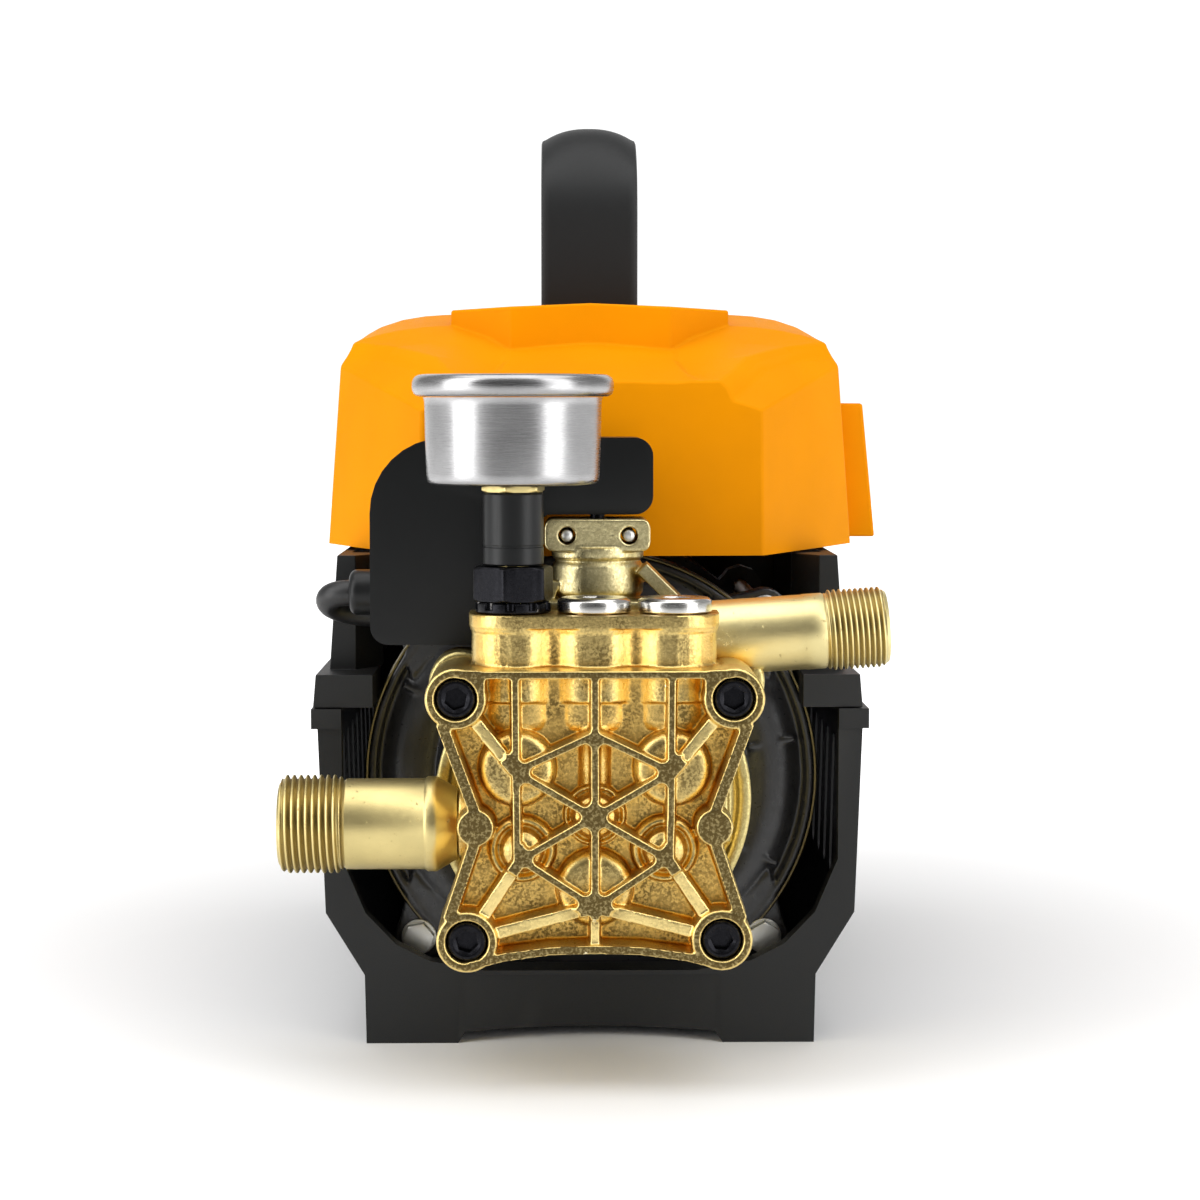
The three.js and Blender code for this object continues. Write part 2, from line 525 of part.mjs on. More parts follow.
function lowerFrame() {
  const [footIn, footOut] = FRAME.foot;
  const outline = mirrored([[FRAME.wall, FRAME.rim], [74.8, 37.4], [footOut + 0.4, 19.6], [footOut, 0],
    [footIn, 0], [footIn - 2, 3]]);
  const lip = block([-FRAME.lip, FRAME.lip], [FRAME.front - 1, FRAME.back + 1], [89.8, FRAME.rim]);
  const cavity = mirrored([[73, 97], [71.6, 38.4], [60.6, 20.4], [60.6, 5.8]]);
  const shallow = mirrored([[73, 97], [71.6, 38.4], [60.6, 20.4]]);
  const opening = mirrored([[70, 97], [70, 52.6], [63.6, 37.4], [55, 28.4], [45.6, 23.6], [30, 20.8]]);
  const bow = 91.9;
  const tub = cut(
    join(prism('y', outline, FRAME.front, FRAME.back), lip),
    prism('y', cavity, 78, 276),
    prism('y', shallow, 70, 79),
    prism('y', opening, FRAME.front - 2, 71),
    rod('z', bow, -1, 19.6, [0, FRAME.front + 8 - bow], 96),
    Array.from({ length: VENT.count }, (_, i) => sideVent(VENT.first + i * VENT.pitch)),
  );
  return cut(tub.translate(FRAME.x, 0, 0), rod('y', FRAME.port, 270, FRAME.back + 2, shaftAt, 22));
}
add('lower_frame', lowerFrame(), blackPlastic);

// A collar that sits on the lower frame, and walls that lean in towards the cover; the walls turn in at
// the front as two posts with a sloping inner face.
function upperFrame() {
  const { x, bottom, collar, top, half, post } = UPPER;
  const { inner, edge, front, bevel } = POST_FACE;
  const taper = ([low, high], z0, z1) => [[-low + x, z0], [low + x, z0], [high + x, z1], [-high + x, z1]];
  const corner = (side) => prism('z', [[inner - 1, front - 1], [edge, front - 1], [inner - 1, bevel + 1]]
    .map(([a, y]) => [side * a + x, y]), collar, top + 1);
  return cut(
    join(
      prism('y', taper(half, bottom, collar), FRAME.front, FRAME.back),
      prism('y', taper(post, collar - 1, top), front, FRAME.back - 2),
    ),
    block([x - 68.5, x + 68.5], [96, 272], [bottom - 1, top + 1]),
    block([x - 60.5, x + 60.5], [60, 97], [bottom - 1, collar]),
    block([x - inner, x + inner], [60, 97], [collar - 0.5, top + 1]),
    corner(-1), corner(1),
    rod('y', MOTOR.r + 1, front - 1, 97, shaftAt, 40),
    rod('y', FRAME.port, 270, FRAME.back + 2, shaftAt, 22),
  );
}
add('upper_frame', upperFrame(), blackPlastic);

// ---------------------------------------------------------------- cover
// Half-sections of the cover's outside, [x, z] from the lower edge up to the middle, by depth.
const coverSections = [
  [COVER.front, [[49, 138], [48.6, 160], [48.5, 178], [46, 179], [41.5, 181], [39, 186], [24, 187],
    [0, 187.5]]],
  [84, [[57, 138.3], [56, 160], [55.3, 183.5], [52, 186], [45, 188.5], [41, 191], [24, 193.5], [0, 194.5]]],
  [100, [[66.5, 138.6], [65, 160], [64, 188.5], [61, 192], [52, 196], [44, 198.5], [24, 200], [0, 200.5]]],
  [120, [[78, 139], [76, 165], [74, 192], [71.7, 198], [66, 203], [56, 206.5], [30, 207.5], [0, 208]]],
  [238, [[78, 139], [76, 165], [74, 192], [71.7, 198], [66, 203], [56, 206.5], [30, 207.5], [0, 208]]],
  [262, [[66.5, 138.6], [65, 160], [64, 188.5], [61, 192], [52, 196], [44, 198.5], [24, 200], [0, 200.5]]],
  [COVER.back, [[57, 138], [56, 160], [55.3, 182], [52, 184], [45, 186], [41, 188], [24, 190], [0, 191]]],
];

function cover() {
  const skin = loft(coverSections.map(([y, half]) => mirrored(half).map(([x, z]) => [x, y, z])));
  const hood = prism('z', [[-23, 98], [23, 98], [41, 122], [41, 262], [-41, 262], [-41, 122]], 188, 210.5);
  const outer = join(skin, hood);
  const middle = (COVER.front + COVER.back) / 2;
  const shrink = (reach) => (reach - COVER.wall) / reach;
  const inner = outer
    .translate(0, -middle, -COVER.base)
    .scale([shrink(78), shrink(middle - COVER.front), shrink(72)])
    .translate(0, middle, COVER.base - 0.5);
  const slots = [[HANDLE.front, HANDLE.front + HANDLE.post], [HANDLE.back - HANDLE.post, HANDLE.back]]
    .map(([a, b]) => block([-HANDLE.half - 0.6, HANDLE.half + 0.6], [a - 0.4, b + 0.4], [190, 215]));
  const wire = block([70, 80], [149, 162], [154.5, 166.5]);
  const vents = [-24, -8, 8, 24].map((x) => block([x - 5, x + 5], [270, 280], [150, 172]));
  return cut(outer, inner, slots, wire, vents);
}
add('cover', cover(), orangePlastic);

// ---------------------------------------------------------------- handle
function arcPoints([cy, cz], r, from, to, steps) {
  return Array.from({ length: steps + 1 }, (_, i) => {
    const angle = ((from + ((to - from) * i) / steps) * Math.PI) / 180;
    return [cy + r * Math.cos(angle), cz + r * Math.sin(angle)];
  });
}

function handle() {
  const { front, back, half, post, top, foot } = HANDLE;
  const [outerR, innerR, grip] = [30, 12, 22];
  const side = [
    [front, foot], ...arcPoints([front + outerR, top - outerR], outerR, 180, 90, 6),
    ...arcPoints([back - outerR, top - outerR], outerR, 90, 0, 6), [back, foot],
    [back - post, foot], ...arcPoints([back - post - innerR, top - grip - innerR], innerR, 0, 90, 4),
    ...arcPoints([front + post + innerR, top - grip - innerR], innerR, 90, 180, 4), [front + post, foot],
  ];
  const face = mirrored([[half, foot - 1], [half - 0.3, 254.5], [half - 1.6, 262], [9, 265.4], [4, top]]);
  return keep(prism('x', side, -half, half), prism('y', face, front - 1, back + 1));
}
add('handle', handle(), blackPlastic);

// ---------------------------------------------------------------- side switch
function switchHousing() {
  const [y0, y1] = SIDE_BOX.y;
  const [z0, z1] = SIDE_BOX.z;
  const inside = (z) => 78.6 - ((z - 139) * 4) / 53;
  const section = [[inside(z0), z0], [SIDE_BOX.bottom, z0], [SIDE_BOX.top, z1], [inside(z1), z1]];
  return cut(
    prism('y', section, y0, y1),
    block([70, 83], [y0 + 2.5, y1 - 2.5], [z0 + 2.5, z1 - 2.5]),
    block([80, 90], [154.4, 181.6], [149.4, 171.6]),
  );
}
add('switch_housing', switchHousing(), orangePlastic);
const rockerFrame = [[154.7, 181.3], [149.7, 171.3]];
add('rocker_switch_body', cut(
  block([79, 84.2], ...rockerFrame),
  block([80.4, 90], [157, 179], [151.5, 169.5]),
), blackPlastic);
add('rocker_button', prism('y', [
  [81.4, 153.6], [84.9, 153.2], [84, 160.5], [84.3, 167.9], [81.4, 167.4],
], 157.6, 178.4), redPaint);

// ---------------------------------------------------------------- pressure switch
function boxOutline(inset) {
  const { left, right, top } = SWITCH_BOX;
  const corner = 20.5;
  const i = inset;
  return [
    [left + i, 115.3 + 4 + i], [left + 4 + i, 115.3 + i], [-18 - i, 115.3 + i], [-14.1 - i, 119.3 + i],
    [-14.1 - i, 150.9 + i], [right - 4 - i, 150.9 + i], [right - i, 154.9 + i], [right - i, top - 4 - i],
    [right - 4 - i, top - i], ...arcPoints([left + corner, top - corner], corner - i, 90, 180, 6),
  ];
}
function boxHalf(from, to, open) {
  const [a, b] = open === 'back' ? [from + 2, to + 1] : [from - 1, to - 2];
  return cut(prism('y', boxOutline(0), from, to), prism('y', boxOutline(2), a, b));
}
add('switch_box_front', cut(
  boxHalf(SWITCH_BOX.front, SWITCH_BOX.split, 'back'),
  rod('z', 2.6, 148, 157, [TOWER.x, TOWER.y], 8),
), blackPlastic);
add('switch_box_rear', cut(
  boxHalf(SWITCH_BOX.split + GAP, SWITCH_BOX.back, 'front'),
  rod('x', 4.2, -62, -56, LEAD_GLAND, 10),
), blackPlastic);
add('micro_switch', block([-8, 12], [47, 53], [159, 167]), blackPlastic);

// ---------------------------------------------------------------- gland, lead and electrical parts
add('cable_gland', turned('x', [
  [CABLE_R + GAP, -67.6], [5.6, -67.6], [6.4, -66.6], [6.4, -61.1], [CABLE_R + GAP, -61.1],
  [CABLE_R + GAP, -67.6],
], LEAD_GLAND, 16), blackPlastic);

const leadRoute = [
  [-50, 60, 128.6], [-60, 60, 128.6], [-69, 60, 128.6], [-72.8, 62.3, 127.4], [-73.6, 66.4, 125],
  [-71, 70.4, 122.7], [-64, 72.4, 121.4], [-52, 72.6, 121.4], [-42, 73, 122.4], [-34, 75, 127],
  [-29.5, 80, 134.5], [-26, 87, 143], [-18, 96, 149.5], [0, 106, 153], [30, 122, 157], [56, 142, 159.5],
  [68, 153, 160.3], [78.6, 155.6, 160.5],
];
function leadTube(route, radius, sides, steps) {
  const curve = new THREE.CatmullRomCurve3(route.map((p) => new THREE.Vector3(...p)), false, 'centripetal');
  const section = new THREE.Shape(Array.from({ length: sides }, (_, i) => {
    const angle = (i * 2 * Math.PI) / sides;
    return new THREE.Vector2(radius * Math.cos(angle), radius * Math.sin(angle));
  }));
  return solid(new THREE.ExtrudeGeometry(section, { steps, bevelEnabled: false, extrudePath: curve }));
}
add('switch_cable', leadTube(leadRoute, CABLE_R, 8, 40), rubber);
const [canFront, canBack] = CAPACITOR.span;
add('capacitor', turned('y', [
  [0, canFront], [CAPACITOR.r - 0.6, canFront], [CAPACITOR.r, canFront + 1], [CAPACITOR.r, canBack - 1],
  [CAPACITOR.r - 0.6, canBack], [0, canBack],
], CAPACITOR.at, 14), whiteFace);
add('mains_gland', turned('y', [
  [4, 276.4], [9, 276.4], [9, 279], [7, 279.4], [6, 281.8], [4, 281.8], [4, 276.4],
], MAINS_GLAND, 12), blackPlastic);

// ---------------------------------------------------------------- place over the origin
const bounds = new THREE.Box3().setFromObject(group);
const centre = bounds.getCenter(new THREE.Vector3());
group.position.set(-centre.x, -centre.y, -bounds.min.z);

export default group;
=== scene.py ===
import math

import bmesh
import bpy
import numpy as np
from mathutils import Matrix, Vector


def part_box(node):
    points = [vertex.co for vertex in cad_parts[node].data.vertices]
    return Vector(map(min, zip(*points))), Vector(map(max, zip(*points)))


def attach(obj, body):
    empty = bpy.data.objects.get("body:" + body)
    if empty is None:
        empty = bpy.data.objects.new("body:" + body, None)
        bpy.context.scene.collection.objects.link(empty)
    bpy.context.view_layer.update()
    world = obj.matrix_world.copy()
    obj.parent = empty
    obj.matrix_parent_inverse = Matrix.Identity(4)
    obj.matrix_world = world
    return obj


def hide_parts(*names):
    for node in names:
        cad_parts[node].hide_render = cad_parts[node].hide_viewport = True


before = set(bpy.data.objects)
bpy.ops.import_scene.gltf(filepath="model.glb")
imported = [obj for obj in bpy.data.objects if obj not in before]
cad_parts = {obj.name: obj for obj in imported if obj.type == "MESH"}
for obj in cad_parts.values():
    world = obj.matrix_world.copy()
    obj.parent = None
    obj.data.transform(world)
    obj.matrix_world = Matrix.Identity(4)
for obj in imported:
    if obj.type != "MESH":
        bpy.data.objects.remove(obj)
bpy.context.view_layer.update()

# Looks of the pressure washer pump. Sizes are in the pump's own millimetres unless a name says
# otherwise: X to the right of the motor shaft, Y back from the pump head's front face, Z up.
MM = 0.001

_low, _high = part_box("motor_shaft")
SHAFT_X = (_low[0] + _high[0]) / 2
SHAFT_Z = (_low[2] + _high[2]) / 2 / MM
FACE_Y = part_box("pump_head")[0][1]


def to_row(points):
    """Points of the pump's own millimetres as metres in the row frame."""
    return np.asarray(points, float) * MM + np.array([SHAFT_X, FACE_Y, 0.0])


def link(obj):
    bpy.context.scene.collection.objects.link(obj)
    return obj


# ------------------------------------------------------------------ node trees
class Nodes:
    """Short ways to write a node tree."""

    def __init__(self, tree):
        self.tree = tree

    def node(self, kind, **settings):
        made = self.tree.nodes.new(kind)
        for key, value in settings.items():
            setattr(made, key, value)
        return made

    def put(self, socket, value):
        """Links a socket, or sets it where the value is a number or a colour."""
        if isinstance(value, bpy.types.NodeSocket):
            self.tree.links.new(value, socket)
        elif isinstance(value, tuple) and len(value) == 3 and socket.type == "RGBA":
            socket.default_value = (*value, 1)
        else:
            socket.default_value = value

    def vector(self, operation, a, b=None, scale=None):
        made = self.node("ShaderNodeVectorMath", operation=operation)
        self.put(made.inputs[0], a)
        if b is not None:
            self.put(made.inputs[1], b)
        if scale is not None:
            made.inputs["Scale"].default_value = scale
        return made.outputs["Value" if operation in ("DOT_PRODUCT", "LENGTH") else "Vector"]

    def math(self, operation, a, b, clamp=True):
        made = self.node("ShaderNodeMath", operation=operation, use_clamp=clamp)
        self.put(made.inputs[0], a)
        self.put(made.inputs[1], b)
        return made.outputs["Value"]

    def times(self, a, b):
        return self.math("MULTIPLY", a, b)

    def part(self, vector, index):
        """One coordinate of a vector."""
        made = self.node("ShaderNodeSeparateXYZ")
        self.put(made.inputs[0], vector)
        return made.outputs[index]

    def span(self, value, low, high, to_low=0.0, to_high=1.0, easing="LINEAR"):
        """Maps low..high to to_low..to_high, clamped."""
        made = self.node("ShaderNodeMapRange", interpolation_type=easing)
        self.put(made.inputs["Value"], value)
        for name, number in zip(("From Min", "From Max", "To Min", "To Max"), (low, high, to_low, to_high)):
            made.inputs[name].default_value = number
        return made.outputs["Result"]


# ------------------------------------------------------------------ camera, floor and light
CAMERA_AT = (-9, -700, 182)
CAMERA_LENS = 81.9
PITCH, YAW = math.radians(4.19), math.radians(0.84)
LIT_MIDDLE = (0, 60, 110)
FLOOR_HALF = 4.0    # metres
LIGHTS = [          # name, place, size in metres, watts
    ("key_left", (-620, -250, 330), (0.42, 0.95), 4.1),
    ("key_right", (560, -380, 330), (0.40, 0.95), 3.3),
    ("overhead", (0, -30, 800), (0.9, 0.7), 4.2),
]


def look_at(obj, target):
    obj.rotation_euler = (Vector(target) - obj.location).to_track_quat("-Z", "Y").to_euler()


def add_camera():
    lens = bpy.data.cameras.new("camera")
    lens.sensor_width = 36
    lens.lens = CAMERA_LENS
    lens.clip_start = 0.02
    camera = link(bpy.data.objects.new("camera", lens))
    camera.location = Vector(to_row(CAMERA_AT))
    look_at(camera, camera.location + Vector((math.sin(YAW), math.cos(YAW), -math.tan(PITCH))))
    bpy.context.scene.camera = camera


def add_lights():
    for name, place, size, power in LIGHTS:
        light = bpy.data.lights.new(name, "AREA")
        light.shape = "RECTANGLE"
        light.size, light.size_y = size
        light.energy = power
        lamp = link(bpy.data.objects.new(name, light))
        lamp.location = to_row(place)
        look_at(lamp, to_row(LIT_MIDDLE))


def add_surroundings():
    """A white studio: bright behind and beside the object, dim on the side that it faces."""
    world = bpy.data.worlds.new("studio")
    world.use_nodes = True
    studio = Nodes(world.node_tree)
    direction = studio.node("ShaderNodeTexCoord").outputs["Generated"]

    def towards(axis, low, high, at_low, at_high):
        share = studio.vector("DOT_PRODUCT", direction, axis)
        return studio.span(share, low, high, at_low, at_high, "SMOOTHSTEP")

    dim_front = towards((0, -0.94, -0.34), 0.25, 0.85, 0.38, 0.10)
    white_back = towards((0, 1, 0), 0.70, 0.90, 0.0, 0.75)
    horizon = towards((0, 0, 1), 0.04, 0.28, 0.75, 0.0)
    beside = towards((0, 1, 0), -0.80, -0.40, 0.0, 1.0)
    around = studio.math("ADD", dim_front, white_back, clamp=False)
    total = studio.math("MAXIMUM", around, studio.times(horizon, beside), clamp=False)
    background = world.node_tree.nodes["Background"]
    studio.put(background.inputs["Color"], (1, 1, 1))
    studio.put(background.inputs["Strength"], total)
    bpy.context.scene.world = world


def floor_paper():
    """White paper that glows away from the object, and least in front of it."""
    paper = bpy.data.materials.new("floor_paper")
    paper.use_nodes = True
    nodes = Nodes(paper.node_tree)
    place = nodes.node("ShaderNodeTexCoord").outputs["Object"]
    glow = nodes.span(nodes.vector("LENGTH", place), 0.08, 0.70, 0.0, 0.95, "SMOOTHSTEP")
    shade = nodes.span(nodes.part(nodes.vector("NORMALIZE", place), 1), -0.95, -0.70, 0.22, 1.0, "SMOOTHSTEP")
    shader = paper.node_tree.nodes["Principled BSDF"]
    shader.inputs["Base Color"].default_value = (0.93, 0.93, 0.93, 1)
    shader.inputs["Roughness"].default_value = 0.8
    shader.inputs["Emission Color"].default_value = (1, 1, 1, 1)
    nodes.put(shader.inputs["Emission Strength"], nodes.times(glow, shade))
    return paper


def add_floor():
    mesh = bpy.data.meshes.new("floor")
    corners = [(a * FLOOR_HALF, b * FLOOR_HALF, 0) for a, b in ((-1, -1), (1, -1), (1, 1), (-1, 1))]
    mesh.from_pydata(corners, [], [(0, 1, 2, 3)])
    mesh.materials.append(floor_paper())
    link(bpy.data.objects.new("floor", mesh))


add_camera()
add_surroundings()
add_floor()
add_lights()
bpy.context.scene.view_settings.view_transform = "Standard"


# ------------------------------------------------------------------ mesh helpers
def fillet(points, steps=4, closed=True):
    """Corners of an outline, given as (a, b) or (a, b, radius), with the radii turned into arcs."""
    out = []
    count = len(points)
    for i, point in enumerate(points):
        radius = point[2] if len(point) > 2 else 0
        here = np.array(point[:2], float)
        if radius <= 0 or (not closed and i in (0, count - 1)):
            out.append(here)
            continue
        before = np.array(points[i - 1][:2], float) - here
        after = np.array(points[(i + 1) % count][:2], float) - here
        u, v = before / np.linalg.norm(before), after / np.linalg.norm(after)
        half = math.acos(np.clip(u @ v, -1, 1)) / 2
        reach = radius / math.tan(half)
        centre = here + (u + v) / np.linalg.norm(u + v) * (radius / math.sin(half))
        start, end = here + u * reach - centre, here + v * reach - centre
        turn = math.atan2(start[0] * end[1] - start[1] * end[0], start @ end)
        for k in range(steps + 1):
            angle = turn * k / steps
            c, s = math.cos(angle), math.sin(angle)
            out.append(centre + np.array([c * start[0] - s * start[1], s * start[0] + c * start[1]]))
    return [tuple(p) for p in out]


def circle(centre, radius, angles):
    """Points on a circle at the given angles, in radians."""
    return [(centre[0] + radius * math.cos(a), centre[1] + radius * math.sin(a)) for a in angles]


def degrees(start, end, count):
    """Evenly spaced angles, given in degrees, as radians."""
    return np.radians(np.linspace(start, end, count))


def mirror(points):
    """A half outline with x >= 0 completed by its mirror image."""
    return list(points) + [(-p[0], *p[1:]) for p in reversed(points) if p[0] != 0]


def along(axis, verts, at):
    """Points made round local Z, turned to lie along a pump axis through `at`, the other two coordinates."""
    verts = np.asarray(verts, float)
    if axis == "z":
        return verts + np.array([at[0], at[1], 0])
    if axis == "y":
        return np.column_stack([verts[:, 0] + at[0], verts[:, 2], verts[:, 1] + at[1]])
    return np.column_stack([verts[:, 2], verts[:, 0] + at[0], verts[:, 1] + at[1]])


def lathe(axis, profile, at=(0, 0), segments=96, close=False):
    """A turned shape from (radius, distance) points; close joins the last point to the first."""
    verts, faces, rings = [], [], []
    for r, h in profile:
        if r < 1e-6:
            rings.append([len(verts)])
            verts.append((0, 0, h))
        else:
            first = len(verts)
            for k in range(segments):
                angle = 2 * math.pi * k / segments
                verts.append((r * math.cos(angle), r * math.sin(angle), h))
            rings.append(list(range(first, first + segments)))
    pairs = list(zip(rings, rings[1:]))
    if close:
        pairs.append((rings[-1], rings[0]))
    for a, b in pairs:
        for k in range(segments):
            n = (k + 1) % segments
            if len(a) == 1 and len(b) == 1:
                continue
            if len(a) == 1:
                faces.append((a[0], b[n], b[k]))
            elif len(b) == 1:
                faces.append((a[k], a[n], b[0]))
            else:
                faces.append((a[k], a[n], b[n], b[k]))
    return along(axis, verts, at), faces


def extrude(axis, outline, low, high, at=(0, 0)):
    """An outline pushed along an axis; its points are the other two coordinates in X, Y, Z order."""
    n = len(outline)
    verts = [(a, b, low) for a, b in outline] + [(a, b, high) for a, b in outline]
    faces = [tuple(range(n)), tuple(range(2 * n - 1, n - 1, -1))]
    faces += [((i + 1) % n, i, i + n, (i + 1) % n + n) for i in range(n)]
    return along(axis, verts, at), faces


def block(x, y, z):
    return extrude("z", [(x[0], y[0]), (x[1], y[0]), (x[1], y[1]), (x[0], y[1])], z[0], z[1])


def merge(*shapes):
    """Several (points, faces) shapes as one."""
    verts, faces, count = [], [], 0
    for v, f in shapes:
        verts.append(np.asarray(v, float))
        faces += [tuple(i + count for i in face) for face in f]
        count += len(v)
    return np.vstack(verts), faces


def loft(rings):
    """A solid through rings of equally many points, closed by its first and last ring."""
    n = len(rings[0])
    verts = [point for ring in rings for point in ring]
    faces = [tuple(range(n)), tuple(range(len(verts) - n, len(verts)))]
    for first in range(0, len(verts) - n, n):
        for k in range(n):
            a, b = first + k, first + (k + 1) % n
            faces.append((a, b, b + n, a + n))
    return np.array(verts, float), faces


def make_object(name, shape):
    verts, faces = shape
    mesh = bpy.data.meshes.new(name)
    mesh.from_pydata(to_row(verts).tolist(), [], faces)
    b = bmesh.new()
    b.from_mesh(mesh)
    bmesh.ops.recalc_face_normals(b, faces=b.faces)
    b.to_mesh(mesh)
    b.free()
    return link(bpy.data.objects.new(name, mesh))


def take_shape(obj):
    """Removes an object and gives back its points, in the pump's own millimetres, and faces."""
    verts = (np.array([v.co for v in obj.data.vertices]) - to_row([0, 0, 0])) / MM
    faces = [tuple(p.vertices) for p in obj.data.polygons]
    bpy.data.objects.remove(obj)
    return verts, faces


def evaluated_mesh(obj):
    graph = bpy.context.evaluated_depsgraph_get()
    return bpy.data.meshes.new_from_object(obj.evaluated_get(graph))


def add_modifier(obj, kind, **settings):
    made = obj.modifiers.new(kind.lower(), kind)
    for key, value in settings.items():
        setattr(made, key, value)


def modify(obj, kind, **settings):
    """Runs one modifier on an object's mesh for good."""
    add_modifier(obj, kind, **settings)
    mesh, old = evaluated_mesh(obj), obj.data
    obj.modifiers.clear()
    obj.data = mesh
    bpy.data.meshes.remove(old)


def rounding(width, segments, angle):
    """Settings of a bevel on every edge sharper than an angle in degrees."""
    return {"width": width * MM, "segments": segments, "limit_method": "ANGLE",
            "angle_limit": math.radians(angle)}


def bevel(obj, width, segments, angle):
    modify(obj, "BEVEL", **rounding(width, segments, angle))


def carve(obj, *shapes):
    """Cuts shapes out of an object."""
    cutter = make_object("cutter", merge(*shapes))
    modify(obj, "BOOLEAN", operation="DIFFERENCE", solver="EXACT", use_self=True, object=cutter)
    bpy.data.objects.remove(cutter)


def weld(obj, distance=0.002):
    """Joins coincident points and removes the faces that collapse."""
    b = bmesh.new()
    b.from_mesh(obj.data)
    bmesh.ops.remove_doubles(b, verts=b.verts, dist=distance * MM)
    bmesh.ops.dissolve_degenerate(b, edges=b.edges, dist=distance * MM * 0.1)
    bmesh.ops.recalc_face_normals(b, faces=b.faces)
    b.to_mesh(obj.data)
    b.free()


def join_objects(target, extra):
    """Moves one object's mesh into another, keeping the order of their materials."""
    with bpy.context.temp_override(active_object=target, selected_editable_objects=[target, extra],
                                   selected_objects=[target, extra]):
        bpy.ops.object.join()


def paint(obj, material):
    obj.data.materials.clear()
    obj.data.materials.append(material)


def finish_piece(obj, nodes, body="frame", angle=30):
    """Shades a piece, ties it to its CAD body and hides the CAD nodes that it stands for."""
    obj.data.shade_smooth()
    obj.data.set_sharp_from_angle(angle=math.radians(angle))
    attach(obj, body)
    if nodes:
        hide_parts(*nodes)


def finish(obj, material, nodes, slot, body="frame", angle=30):
    paint(obj, material)
    finish_piece(obj, nodes, body, angle)


def piece(name, shape, *looks, **how):
    """One finished piece from one shape; the rest is what finish takes."""
    finish(make_object(name, shape), *looks, **how)


def turned(name, profile, at, *looks, axis="z", segments=128, close=False, angle=32):
    """One finished piece turned on a lathe."""
    piece(name, lathe(axis, profile, at, segments, close), *looks, angle=angle)


def casting(name, shapes, voxel, rounds, keep, *looks):
    """Melts overlapping shapes into one casting with soft fillets, thinned where it is nearly flat."""
    obj = make_object(name, merge(*shapes))
    modify(obj, "REMESH", mode="VOXEL", voxel_size=voxel * MM)
    modify(obj, "SMOOTH", factor=0.5, iterations=rounds)
    modify(obj, "DECIMATE", ratio=keep)
    finish(obj, *looks, angle=60)


# ------------------------------------------------------------------ materials
class Look(Nodes):
    """A procedural material: nodes in object space, counted in millimetres, feeding one Principled shader."""

    def __init__(self, name, roughness, metallic=0.0, **uniform):
        self.material = bpy.data.materials.new(name)
        self.material.use_nodes = True
        super().__init__(self.material.node_tree)
        self.shader = self.tree.nodes["Principled BSDF"]
        self.shader.inputs["Metallic"].default_value = metallic
        self.shader.inputs["Roughness"].default_value = roughness
        for key, value in uniform.items():
            self.shader.inputs[key.replace("_", " ")].default_value = value
        coordinate = self.node("ShaderNodeTexCoord")
        self.normal = coordinate.outputs["Normal"]
        self.place = self.vector("SCALE", coordinate.outputs["Object"], scale=1 / MM)

    def noise(self, per_mm, detail=2.0, rough=0.5, stretch=(1, 1, 1)):
        made = self.node("ShaderNodeTexNoise")
        self.put(made.inputs["Vector"], self.vector("MULTIPLY", self.place, stretch))
        made.inputs["Scale"].default_value = per_mm
        made.inputs["Detail"].default_value = detail
        made.inputs["Roughness"].default_value = rough
        return made.outputs["Fac"]

    def mix(self, factor, a, b):
        made = self.node("ShaderNodeMix", data_type="RGBA")
        self.put(made.inputs[0], factor)
        self.put(made.inputs[6], a)
        self.put(made.inputs[7], b)
        return made.outputs[2]

    def blend(self, factor, a, b):
        made = self.node("ShaderNodeMix", data_type="FLOAT")
        for socket, value in zip(made.inputs[:1] + made.inputs[2:4], (factor, a, b)):
            self.put(socket, value)
        return made.outputs[0]

    def edges(self, low=0.52, high=0.56):
        """1 on outward edges, from the mesh's own curvature."""
        return self.span(self.node("ShaderNodeNewGeometry").outputs["Pointiness"], low, high)

    def hollow(self, reach):
        """1 deep in a pocket, 0 in the open, by how much of the sky is hidden within reach mm."""
        made = self.node("ShaderNodeAmbientOcclusion", samples=8)
        made.inputs["Distance"].default_value = reach * MM
        return self.span(made.outputs["AO"], 1.0, 0.25)

    def facing(self, direction, low=0.85, high=0.97):
        return self.span(self.vector("DOT_PRODUCT", self.normal, direction), low, high)

    def relief(self, *layers):
        """Bump from (height socket, depth in mm) layers, chained."""
        normal = None
        for height, depth in layers:
            made = self.node("ShaderNodeBump")
            made.inputs["Strength"].default_value = 1.0
            made.inputs["Distance"].default_value = depth * MM
            self.put(made.inputs["Height"], height)
            if normal is not None:
                self.put(made.inputs["Normal"], normal)
            normal = made.outputs["Normal"]
        self.put(self.shader.inputs["Normal"], normal)

    def colour(self, value):
        self.put(self.shader.inputs["Base Color"], value)

    def roughness(self, value):
        self.put(self.shader.inputs["Roughness"], value)


GOLD = (0.83, 0.63, 0.235)
GOLD_PALE = (1.0, 0.88, 0.55)
# painted shade and painted orange bounce light, laid into the pockets of the casting
GOLD_POCKET_SHADE = (0.64, 0.33, 0.03)
# painted shade on every flat that faces the front
GOLD_FLAT_SHADE = (0.40, 0.295, 0.115)
# the foremost flats: tumbled tone, darkened further as painted shade
GOLD_TUMBLED_AND_SHADE = (0.33, 0.26, 0.115)
GOLD_GRAIN = (0.12, 0.082, 0.028)
GOLD_STEP = (0.88, 0.69, 0.28)
# painted shade and painted orange bounce light for the pocket floors
GOLD_FLOOR_SHADE = (0.72, 0.44, 0.10)


